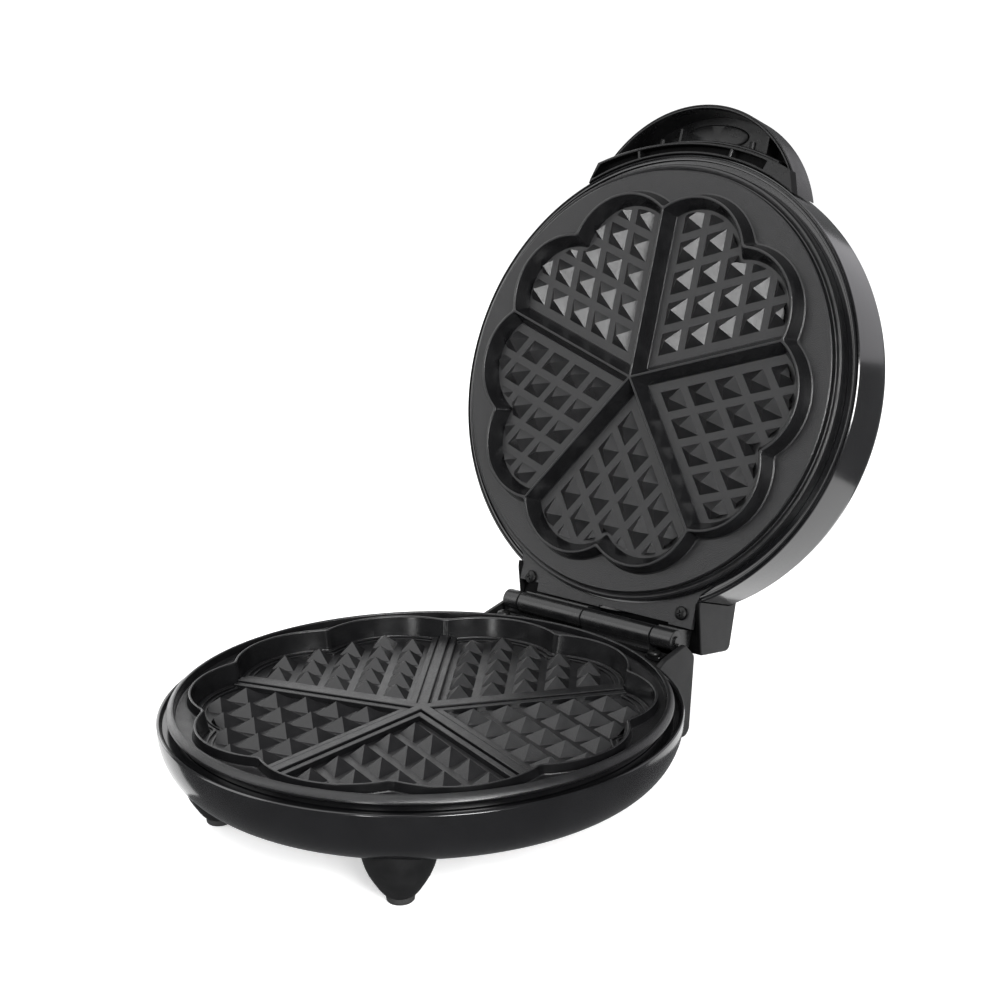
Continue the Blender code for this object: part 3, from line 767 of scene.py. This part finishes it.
def make_base_plate():
    angles = lobe_angles()
    floor = FLOOR_Z
    rings = [
        (0, floor),
        (flower(-6.0), floor),
        (flower(-5.9), floor + 0.75),
        (flower(-5.6), floor + 0.9),
        (flower(-5.2), floor + 0.9),
        (flower(-5.0), floor + 0.75),
        (flower(-4.9), floor + 0.3),
        (flower(-3.9), floor + 0.3),
        (flower(-3.8), floor + 1.1),
        (flower(-3.5), floor + 1.25),
        (flower(-2.9), floor + 1.25),
        (flower(-2.7), floor + 1.1),
        (flower(-2.6), floor + 0.7),
        (flower(-1.9), floor + 0.7),
        (flower(-1.6), floor + 1.1),
        (flower(-0.15), LIP_Z - 0.55),
        (flower(0.0), LIP_Z - 0.2),
        (flower(0.25), LIP_Z),
        (flower(0.7), LIP_Z),
        (flower(0.95), LIP_Z - 0.2),
        (flower(1.05), LIP_Z - 0.6),
        (flower(1.55), BASE_CHANNEL_Z + 0.5),
        (flower(1.8), BASE_CHANNEL_Z + 0.12),
        (flower(2.3), BASE_CHANNEL_Z),
        (flower(2.6), BASE_CHANNEL_Z),
        (CHANNEL_R - 0.7, BASE_CHANNEL_Z),
        (CHANNEL_R - 0.2, BASE_CHANNEL_Z + 0.2),
        (CHANNEL_R + 0.05, BASE_CHANNEL_Z + 0.8),
        (CHANNEL_R + 0.35, LIP_Z - 0.6),
        (CHANNEL_R + 0.6, LIP_Z - 0.2),
        (CHANNEL_R + 0.9, LIP_Z - 0.05),
        (CHANNEL_R + 1.5, LIP_Z - 0.15),
        (CHANNEL_R + 2.0, LIP_Z - 0.5),
        (PLATE_R - 0.6, LIP_Z - 1.3),
        (PLATE_R - 0.15, LIP_Z - 2.2),
        (PLATE_R, LIP_Z - 2.7),
        (PLATE_R - 0.1, LIP_Z - 3.1),
        (PLATE_R - 0.5, LIP_Z - 3.4),
        (CHANNEL_R + 0.6, LIP_Z - 3.6),
        (CHANNEL_R + 0.6, LEDGE_Z + 0.4),
        (flower(2.7), LEDGE_Z + 0.3),
        (flower(1.2), floor - 3),
        (0, floor - 3),
    ]
    shape = loft(rings, angles)
    grid = floor + 0.6
    section = [(0.0, grid + 2.3), (1.85, grid + 2.3), (2.1, grid + 2.05), (2.2, grid + 0.7)]
    section += [(2.9, grid + 0.7), (3.0, grid + 1.45), (3.2, grid + 1.65), (5.4, grid + 1.65)]
    section += [(5.65, grid + 1.45), (5.8, grid - 0.8)]
    shape.join(rib_arms(section, BASE_RIB_REACH))
    shape.join(pyramids(floor, floor + PYRAMID_H + 0.4, 6.9, -6.6, BASE_GROOVE, 1.2))
    piece(
        "waffle_plate_base", shape, "nonstick", "base", BASE_FRAME,
        ["base_plate"], sharp=PLATE_SHARP_DEGREES, looks=["nonstick_painted_shade_wall"],
    )


def make_lid_plate():
    rings = [
        (0, 0),
        (flower(-12.6), 0),
        (flower(-12.2), 0),
        (flower(-8.7), LID_RIDGE - 0.25),
        (flower(-8.35), LID_RIDGE),
        (flower(-7.75), LID_RIDGE),
        (flower(-7.4), LID_RIDGE - 0.25),
        (flower(-5.2), 0.35),
        (flower(-4.6), 0),
        (flower(-4.2), 0),
        (97.0, 0),
        (97.9, 0),
        (98.3, -0.4),
        (98.6, -3.0),
        (99.0, -3.2),
        (99.8, -2.7),
        (100.6, -2.5),
        (101.4, -2.9),
        (LID_PLATE_R, -3.8),
        (LID_PLATE_R, -7.8),
        (98.8, -7.8),
        (97.4, -5.0),
        (95.0, -3.2),
        (0, -3.2),
    ]
    shape = loft(rings, lobe_angles())
    section = [(0.0, LID_RIDGE), (0.35, LID_RIDGE - 0.02), (0.6, LID_RIDGE - 0.3)]
    section += [(3.9, 0.4), (4.4, -0.2)]
    shape.join(rib_arms(section, LID_RIB_REACH))
    shape.join(pyramids(0, PYRAMID_H, 5.6, -14.0, LID_GROOVE))
    flip = Matrix.Translation(LID_CENTRE) @ Matrix.Scale(-1, 4, (0, 0, 1))
    shape.moved(flip)
    piece(
        "waffle_plate_lid", shape, "nonstick", "lid", LID_FRAME,
        ["lid_plate"], sharp=PLATE_SHARP_DEGREES, looks=["nonstick_painted_shade_wall"],
        steep=LID_WALL_STEEPNESS,
    )


# ---------------------------------------------------------------- casings and feet


def bowl_profile(grow=0.0):
    """The base casing's side, from its flat bottom to its rim, moved outwards by grow."""
    rings, steps = [], 20
    for step in range(steps + 1):
        part = (step / steps) ** 1.6
        rise = 1 - part
        reach = (1 - rise**BOWL_POWER) ** (1 / BOWL_POWER)
        r = BOWL_FLAT_R + (CASE_R - BOWL_FLAT_R) * reach + grow
        rings.append((r, BOWL_Z + (RIM_Z - BOWL_Z) * part - grow * rise))
    return rings


def dome_profile(grow=0.0):
    """The lid casing's top edge and shallow dome, moved outwards by grow."""
    top = LID_RIM_BACK + LID_SIDE
    places = [(0, 0), (0.3, 1.6), (1.4, 4.5), (3.1, 6.7), (5.5, 8.4), (8.9, 9.6), (13, 10.4)]
    places += [(22, 11.0), (35, 11.5), (52, 11.75), (70, 11.9), (90, 12.0)]
    return [(CASE_R - inward + grow, top + up + (grow if up else 0)) for inward, up in places]


def make_base_casing():
    rings = [(0, BOWL_Z), (70, BOWL_Z), *bowl_profile()]
    for inward, up in ((0.1, 0.3), (0.45, 0.7), (0.9, 0.8), (1.4, 0.6), (1.8, 0.1), (2.2, -0.5)):
        rings.append((CASE_R - inward, RIM_Z + up))
    rings += [(CASE_R - 2.4, LEDGE_Z), (99.4, LEDGE_Z), (103, 37), (92, 26), (85, 23), (0, 22.7)]
    shape = loft(rings, even_angles(240))
    piece("casing_base", shape, "black_enamel", "base", BASE_FRAME, ["base_casing"])


def make_lid_casing():
    low = LID_RIM_BACK
    rings = [(96.5, low + 1.1), (CASE_R - 2.9, low + 1.1), (CASE_R - 2.9, low + 0.5)]
    rings += [(CASE_R - 2.7, low + 0.1), (CASE_R - 2.3, low - 0.05), (CASE_R - 1.8, low + 0.05)]
    rings += [(CASE_R - 1.5, low + 0.4), (CASE_R - 1.45, low + 1.2), (CASE_R - 1.0, low + 1.2)]
    rings += [(CASE_R - 0.95, low + 0.5), (CASE_R - 0.5, low + 0.35), (CASE_R - 0.1, low + 0.7)]
    rings += [(CASE_R, low + 1.3), *dome_profile(), (0, low + LID_SIDE + LID_DOME)]
    rings += [(0, low + LID_SIDE + LID_DOME - 2.4), (90, low + LID_SIDE + 7)]
    rings += [(CASE_R - 3, low + LID_SIDE), (CASE_R - 3, low + 3.2), (96.5, low + 3.2)]
    pole = rings.index((0, low + LID_SIDE + LID_DOME))
    rings = rings[pole + 1 :] + rings[: pole + 1]
    shape = placed(loft(rings, even_angles(240)), LID_CENTRE)
    casing = piece("casing_lid", shape, "black_enamel", "lid", LID_FRAME, ["lid_casing"])
    for x in (-LENS_X, LENS_X):
        hole = [(0, 30), (4.4, 30), (4.4, 50), (0, 50)]
        at = LID_CENTRE + Vector((x, LENS_Y, 0))
        carve(casing, LID_FRAME, placed(loft(hole, even_angles(48)), at))


def make_feet():
    bowl = loft([(0, BOWL_Z - 0.05), *bowl_profile(0.05), (CASE_R, 60), (0, 60)], even_angles(160))
    for end, turn in (("front", math.pi - FOOT_ANGLE), ("rear", FOOT_ANGLE)):
        for side, sign in (("left", -1), ("right", 1)):
            at = (sign * FOOT_RING_R * math.sin(turn), FOOT_RING_R * math.cos(turn), 0)
            rings = [(0, 31), (15.0, 31), (14.7, 24), (14.4, 20.5), (13.9, 17.5), (13.0, 14.5)]
            rings += [(11.7, 11.5), (10.0, 8.6), (8.2, 5.8), (6.9, 4.1), (6.0, 3.2), (5.4, 2.9)]
            rings += [(2.4, 2.9), (2.4, 10), (0, 10)]
            shape = placed(loft(rings, even_angles(64)), at)
            foot = piece(
                f"leg_{end}_{side}", shape, "black_plastic", "base", BASE_FRAME,
                [f"foot_{end}_{side}"],
            )
            carve(foot, BASE_FRAME, bowl)
            tip = [(0, 0), (4.2, 0), (4.9, 0.25), (5.3, 0.8), (5.4, 1.6), (5.4, 2.8), (2, 2.8)]
            tip += [(2, 9.4), (0, 9.4)]
            shape = placed(loft(tip, even_angles(48)), at)
            piece(
                f"pad_{end}_{side}", shape, "rubber", "base", BASE_FRAME,
                [f"foot_tip_{end}_{side}"],
            )


# ---------------------------------------------------------------- hinge and housings


def along_x(outline, low, high, edge):
    """A block from an outline in (y, z), pushed along X, with rounded edges."""
    turn = Matrix(((0, 0, 1, 0), (1, 0, 0, 0), (0, 1, 0, 0), (0, 0, 0, 1)))
    return slab(outline, low, high, edge, 4).moved(turn)


def make_housings():
    bowl = [(0, BOWL_Z - GAP), *bowl_profile(GAP), (CASE_R + GAP, 60), (0, 60)]
    bowl = loft(bowl, even_angles(180))
    inner = TAB_HALF + GAP
    outline = rounded([(93, 9), (97, 5), (117, 5), (119.6, 7.5), (122.5, 42), (115, 49),
                       (99, 46), (93, 43)], [1.6, 2, 3, 2, 1.8, 1.8, 1.6, 1.6], 4)
    block = along_x(outline, -HOUSING_HALF, HOUSING_HALF, 0.9)
    housing = piece(
        "housing_base", block, "black_plastic", "base", BASE_FRAME, ["base_rear_housing"]
    )
    seat = box_shape((-inner, 80, 43.1), (inner, 119.4, 60))
    bore = loft([(0, 110), (5.6, 110), (5.6, 130), (0, 130)], even_angles(40))
    carve(housing, BASE_FRAME, bowl, seat, placed(bore, (CORD_EXIT.x, 0, CORD_EXIT.z), "Y"))

    low = LID_RIM_BACK - 4
    top = LID_RIM_BACK + LID_SIDE + LID_DOME + GAP
    dome = loft([(0, low), (CASE_R + GAP, low), *dome_profile(GAP), (0, top)], even_angles(180))
    outline = rounded([(-27, 7.4), (-32, 38), (2, 41), (5.5, 17), (-16, 7.4)],
                      [2, 2.5, 3.5, 2, 2], 5)
    block = along_x(outline, -HOUSING_HALF, HOUSING_HALF, 0.9)
    housing = piece(
        "housing_lid", block, "black_plastic", "lid", LID_FRAME,
        ["lid_rear_housing"], looks=["painted_shade_plastic"],
    )
    seat = box_shape((-inner, -40, -5), (inner, 20, 13.5))
    carve(housing, LID_FRAME, placed(dome, LID_CENTRE), seat)
    # Painted shade: the faces that look forward when the lid is open take the near-black, nearly
    # glossless look
    for face in housing.data.polygons:
        face.material_index = 1 if face.normal.z < -0.6 else 0


def barrel(low, high):
    rings = [(0, low), (BARREL_R - 0.5, low), (BARREL_R - 0.1, low + 0.2), (BARREL_R, low + 0.5)]
    rings += [(BARREL_R, high - 0.5), (BARREL_R - 0.1, high - 0.2), (BARREL_R - 0.5, high)]
    return placed(loft([*rings, (0, high)], even_angles(64)), (0, 0, 0), "X")


def make_hinge():
    base, lid = Shape(), Shape()
    for low, high in BASE_KNUCKLES:
        base.join(barrel(low, high))
        base.join(box_shape((low + 0.3, -3.4, -7), (high - 0.3, 3.4, -1)))
    plate = slab(rounded([(-47.7, -5), (-47.7, 5.2), (48.2, 5.2), (48.2, -5)], 1.5, 4),
                 -7.1, -5.1, 0.4, 2)
    base.join(plate)
    for x in (-SCREW_X, SCREW_X):
        ear = [(x - 4.2, -11.5), (x - 4.2, 0), (x + 4.2, 0), (x + 4.2, -11.5)]
        ear = slab(rounded(ear, 1.5, 4), -7.1, -5.1, 0.4, 2)
        base.join(ear)
    piece("hinge_base", base, "dark_steel", "base", HINGE_FRAME, ["base_hinge_leaf"])
    for low, high in LID_KNUCKLES:
        lid.join(barrel(low, high))
        lid.join(box_shape((low + 0.3, -5.2, 1), (high - 0.3, 2.6, 12)))
    piece("hinge_lid", lid, "dark_steel", "lid", LID_FRAME, ["lid_hinge_leaf"])


def make_tab():
    """The flat tab that runs out from the lid casing's rim to the hinge."""
    reach = LID_PLATE_R + 0.8
    outline = [(TAB_HALF, -5.8), (37.6, -5.8), (37.6, -6.6), (-1.4, -6.6), (-1.4, -5.8)]
    outline += [(-38.6, -5.8), (-38.6, -10.0), (-TAB_HALF, -10.0), (-TAB_HALF, -17.6)]
    outline += [(-51.6, -22.3), (-56.5, -26.8)]
    first, last = -math.asin(56.5 / reach), math.asin(56.5 / reach)
    for step in range(41):
        angle = first + (last - first) * step / 40
        outline.append((reach * math.sin(angle), LID_CENTRE.y + reach * math.cos(angle)))
    outline += [(56.5, -26.8), (51.6, -22.3), (TAB_HALF, -17.6)]
    low = LID_CENTRE.z + LID_RIM_BACK - 0.2
    tab = skin([outline, outline], [low, low + 2.1])
    made = piece("hinge_tab", tab, "nonstick", "lid", LID_FRAME)
    bevel = made.modifiers.new("edge", "BEVEL")
    bevel.width = 0.0004
    bevel.segments = 2
    bevel.limit_method = "ANGLE"
    bevel.angle_limit = math.radians(40)


def screw_shape():
    """A pan head screw, head up, its seat at height 0. The cross recess is cut into it afterwards.
    """
    rings = [(0, -8), (1.5, -8), (1.5, 0), (3.1, 0), (3.15, 0.5), (2.9, 1.1), (2.2, 1.5)]
    rings += [(1.2, 1.7), (0, 1.75)]
    return loft(rings, even_angles(48))


def make_screws():
    down = Matrix.Rotation(math.pi, 4, "X")
    for side, x in (("left", -SCREW_X), ("right", SCREW_X)):
        seats = [
            (f"base_hinge_screw_{side}", "base", HINGE_FRAME, Matrix.Translation((x, -9.2, -4.7))),
            (f"lid_hinge_screw_{side}", "lid", LID_FRAME,
             Matrix.Translation((x, -11.9, 8.3)) @ down),
        ]
        for node, body, place, seat in seats:
            shape = screw_shape().moved(seat)
            made = piece(
                f"bolt_{node[:-6]}{side}", shape, "screw_black", body, place,
                [node],
            )
            for turn in (20, 110):
                bar = box_shape((-1.5, -0.32, 0.8), (1.5, 0.32, 3))
                bar.moved(seat @ Matrix.Rotation(math.radians(turn), 4, "Z"))
                carve(made, place, bar)


# ---------------------------------------------------------------- handle


def handle_outline(inset):
    """The grip's arc, closed along the casing's side and round the deep part of the
    bracket. Inset moves the outline inwards."""
    r, near = HANDLE_R - inset, BRACKET_IN_R + inset
    lean = (near**2 - r**2 - HANDLE_CENTRE**2) / (2 * HANDLE_CENTRE)
    first = math.acos(lean / r)
    edge = math.asin(r * math.sin(first) / near)
    outline = []
    for step in range(97):
        angle = first * (1 - step / 48)
        outline.append((r * math.sin(angle), -HANDLE_CENTRE - r * math.cos(angle)))
    notch = BRACKET_DEEP_ANGLE + (GAP + inset) / BRACKET_OUT_R
    far = BRACKET_OUT_R + GAP + inset
    side = [(near, -edge + (edge - notch) * step / 4) for step in (1, 2, 3, 4)]
    side += [(far, notch * (step / 24 - 1)) for step in range(49)]
    side += [(near, notch + (edge - notch) * step / 4) for step in (0, 1, 2, 3)]
    outline += [(radius * math.sin(a), -radius * math.cos(a)) for radius, a in side]
    return [(x, LID_CENTRE.y + y) for x, y in outline]


def ring_sector(inner, outer, near, far, grow=0.0):
    """A strip between two radii. near and far are its two end angles at those radii, and
    grow moves the ends of its outer edge outwards."""
    outline, steps = [], 48
    for r, (a, b) in ((inner, near), (outer, (far[1], far[0]))):
        for step in range(steps + 1):
            angle = a + (b - a) * step / steps
            radius = r + (grow * (angle / 27) ** 2 if r == outer else 0)
            turn = math.radians(angle)
            outline.append((radius * math.sin(turn), LID_CENTRE.y - radius * math.cos(turn)))
    return outline


def make_handle():
    low = LID_CENTRE.z + LID_RIM_BACK + HANDLE_SETBACK
    high = LID_CENTRE.z + LID_RIM_BACK + HANDLE_DEPTH
    rim = [(2.25, high - 3.4), (2.2, low + 1.5), (2.0, low + 1.1), (1.85, low + 0.5)]
    rim += [(1.7, low + 0.1), (1.6, low), (1.15, low), (1.05, low + 0.1), (0.95, low + 1.0)]
    rim += [(0.6, low + 1.0), (0.55, low + 0.4), (0.45, low + 0.3), (0.12, low + 0.3)]
    rim += [(0.03, low + 0.4), (0, low + 0.8)]
    rim += [(0, high - 2.6), (0.15, high - 1.7), (0.5, high - 0.9), (1.1, high - 0.3), (2.0, high)]
    outlines = [handle_outline(inset) for inset, _ in rim]
    shape = skin(outlines, [z for _, z in rim])
    for x, far in ((-15.5, 122.5), (32.5, 119.5)):
        near = math.sqrt((BRACKET_OUT_R + 1.2) ** 2 - x * x)
        rib = box_shape(
            (x - 0.6, LID_CENTRE.y - far, low + 5), (x + 0.6, LID_CENTRE.y - near, high - 2)
        )
        shape.join(rib)
    boss = [(0, high - 4.6), (15, high - 4.6), (16.8, high - 4.2), (17.4, high - 3.2)]
    oval = loft(boss, even_angles(64)).moved(Matrix.Scale(0.34, 4, (0, 1, 0)))
    oval.moved(Matrix.Translation((-1, LID_CENTRE.y - 121.5, 0)))
    shape.join(oval)
    grip = piece(
        "grip", shape, "handle_plastic", "lid", LID_FRAME, ["handle_shell"],
        looks=["nonstick"],
    )
    # Painted highlight: the grip's rim faces at the front take the lighter, glossier non-stick
    # look, so the rim shows bright lines
    for face in grip.data.polygons:
        rim_highlight_faces = face.normal.z < -0.7 and face.center.z < (low + 0.45) * MM
        face.material_index = 1 if rim_highlight_faces else 0
    make_bracket()


def make_bracket():
    """The channel along the casing's side, open to the front, with dividers in it."""
    low = LID_CENTRE.z + LID_RIM_BACK
    back, wall = low + HANDLE_SETBACK - GAP, 1.2
    deep = math.degrees(BRACKET_DEEP_ANGLE)
    ends, corners = (-31.6, 31.6), (-27.6, 27.6)
    outer = ring_sector(BRACKET_IN_R, BRACKET_OUT_R, ends, corners, 1.6)
    pocket = ring_sector(
        BRACKET_IN_R + wall, BRACKET_OUT_R - wall, (-30.6, deep), (-27.0, deep), 1.4
    )
    bracket = skin(
        [pocket, pocket, shrunk(pocket, -0.3), shrunk(outer, 0.3), outer, outer],
        [back - 0.8, low + 0.9, low + 0.6, low + 0.6, low + 0.9, back],
    )
    box = ring_sector(BRACKET_IN_R, BRACKET_OUT_R, (-deep, deep), (-deep, deep))
    walls = skin([box, box], [back - 0.1, low + 16])
    bracket.join(walls)
    seal = ring_sector(CASE_R - 1.2, BRACKET_IN_R + 0.5, (-28.5, 28.5), (-28.5, 28.5))
    web = skin([seal, seal], [low + 3, low + 4.4])
    bracket.join(web)
    made = piece(
        "grip_bracket", bracket, "handle_plastic", "lid", LID_FRAME,
        ["handle_bracket"], looks=["painted_shade_plastic"],
    )
    room = ring_sector(
        BRACKET_IN_R + wall, BRACKET_OUT_R - wall, (0.4 - deep, deep), (0.4 - deep, deep)
    )
    carve(made, LID_FRAME, skin([room, room], [low + 1.2, low + 14.4]))
    # Painted shade: faces inside the channel and its upright walls take the near-black, nearly
    # glossless look of a shaded recess
    for face in made.data.polygons:
        inside = face.center.z > (low + 1) * MM or abs(face.normal.z) < 0.5
        face.material_index = 1 if inside else 0
    make_dividers(low)


def make_dividers(low):
    dividers = Shape()
    for angle in (-15.8, 10.6):
        web = []
        for r, turn in ((BRACKET_IN_R + 0.8, -0.35), (BRACKET_IN_R + 0.8, 0.35),
                        (BRACKET_OUT_R - 0.8, 0.35), (BRACKET_OUT_R - 0.8, -0.35)):
            at = math.radians(angle + turn)
            web.append((r * math.sin(at), LID_CENTRE.y - r * math.cos(at)))
        block = slab(web, low + 1.0, low + 15, 0.15, 1)
        dividers.join(block)
    piece("grip_dividers", dividers, "handle_plastic", "lid", LID_FRAME)


# ---------------------------------------------------------------- the rest


def paint_kept_nodes():
    """CAD solids whose shape is right keep it and get a finished surface."""
    kept = {
        "steel": ["base_heating_element", "lid_heating_element"],
        "aluminium": ["base_heat_shield", "lid_heat_shield"],
        "ceramic": ["thermostat", "thermal_fuse", "terminal_block", "indicator_lamp_left",
                    "indicator_lamp_right"],
        "black_plastic": ["cord_clamp"],
        "dark_steel": ["hinge_pin"],
        "screw_black": ["handle_screw_left", "handle_screw_right"],
        "red_lens": ["indicator_lens_left"],
        "green_lens": ["indicator_lens_right"],
    }
    for look, nodes in kept.items():
        for name in nodes:
            data = frame["nodes"][name].data
            data.materials.clear()
            data.materials.append(LOOKS[look])


def area_light(name, place, aim, size, power, colour=(1, 1, 1)):
    data = bpy.data.lights.new(name, "AREA")
    data.shape = "RECTANGLE"
    data.size, data.size_y = size
    data.energy = power
    data.color = colour
    obj = put(name, data)
    obj.location = place
    obj.rotation_euler = (Vector(aim) - Vector(place)).to_track_quat("-Z", "Y").to_euler()
    return obj


def make_world():
    """White to the eye, and a dimmer white room for the light that falls on the object."""
    world = bpy.data.worlds.new("studio")
    world.use_nodes = True
    tree = world.node_tree
    make, link = node_maker(tree), tree.links.new
    room = tree.nodes["Background"]
    room.inputs["Color"].default_value = (0.97, 0.98, 1.0, 1)
    room.inputs["Strength"].default_value = 0.17
    seen = make("ShaderNodeBackground")
    seen.inputs["Color"].default_value = (1, 1, 1, 1)
    seen.inputs["Strength"].default_value = 1.1
    path, mix = make("ShaderNodeLightPath"), make("ShaderNodeMixShader")
    link(path.outputs["Is Camera Ray"], mix.inputs["Fac"])
    link(room.outputs["Background"], mix.inputs[1])
    link(seen.outputs["Background"], mix.inputs[2])
    link(mix.outputs["Shader"], tree.nodes["World Output"].inputs["Surface"])
    bpy.context.scene.world = world


def make_stage():
    """A pale floor and soft lights on all sides. The two low ones fill in the underside."""
    mesh = bpy.data.meshes.new("floor")
    mesh.from_pydata([(-9, -9, 0), (9, -9, 0), (9, 9, 0), (-9, 9, 0)], [], [(0, 1, 2, 3)])
    floor = put("floor", mesh)
    pale = surface("pale_floor", (0.9, 0.9, 0.9), (0.92, 0.92, 0.92), (0.6, 0.7), bump=0.0)
    glow = pale.node_tree.nodes["Principled BSDF"].inputs
    glow["Emission Color"].default_value = (1, 1, 1, 1)
    glow["Emission Strength"].default_value = 0.5
    mesh.materials.append(pale)
    floor.visible_glossy = False
    make_world()
    sun = bpy.data.lights.new("sky_light", "SUN")
    sun.energy = 1.8
    sun.angle = math.radians(70)
    high = put("sky_light", sun)
    high.rotation_euler = (math.radians(18), math.radians(-14), 0)
    area_light("front_left", (-1.0, -1.15, 0.64), (0, 0.1, 0.16), (0.8, 0.8), 5.4)
    area_light("front_right", (1.17, -0.72, 0.66), (0, 0.1, 0.2), (0.5, 0.5), 28)
    area_light("strip", (0.5, -1.4, 0.4), (0, 0, 0.05), (0.14, 0.9), 6)
    area_light("back", (0.5, 1.5, 0.6), (0, 0.1, 0.15), (1.5, 0.9), 3.2, (0.98, 0.96, 1.0))
    area_light("back_left", (-1.04, 1.0, 0.63), (0, -0.05, 0.04), (1.0, 0.8), 3.6)
    area_light("left", (-1.5, 0.2, 0.4), (0, -0.05, 0.05), (0.9, 0.7), 4)
    for name, place, aim, size, power in (
        ("low_back", (0.115, 0.185, 0.006), (0.09, 0.09, 0.1), (0.17, 0.13), 0.08),
        ("low_left", (-0.2, -0.1, 0.006), (-0.09, -0.08, 0.04), (0.16, 0.16), 0.1),
    ):
        area_light(name, place, aim, size, power).visible_camera = False
    bpy.context.scene.view_settings.view_transform = "Standard"


def main():
    put_camera()
    cord = make_cord()
    make_relief_and_plug()
    make_base_plate()
    make_lid_plate()
    make_base_casing()
    make_lid_casing()
    make_tab()
    make_feet()
    make_housings()
    make_hinge()
    make_screws()
    make_handle()
    paint_kept_nodes()
    make_stage()


main()
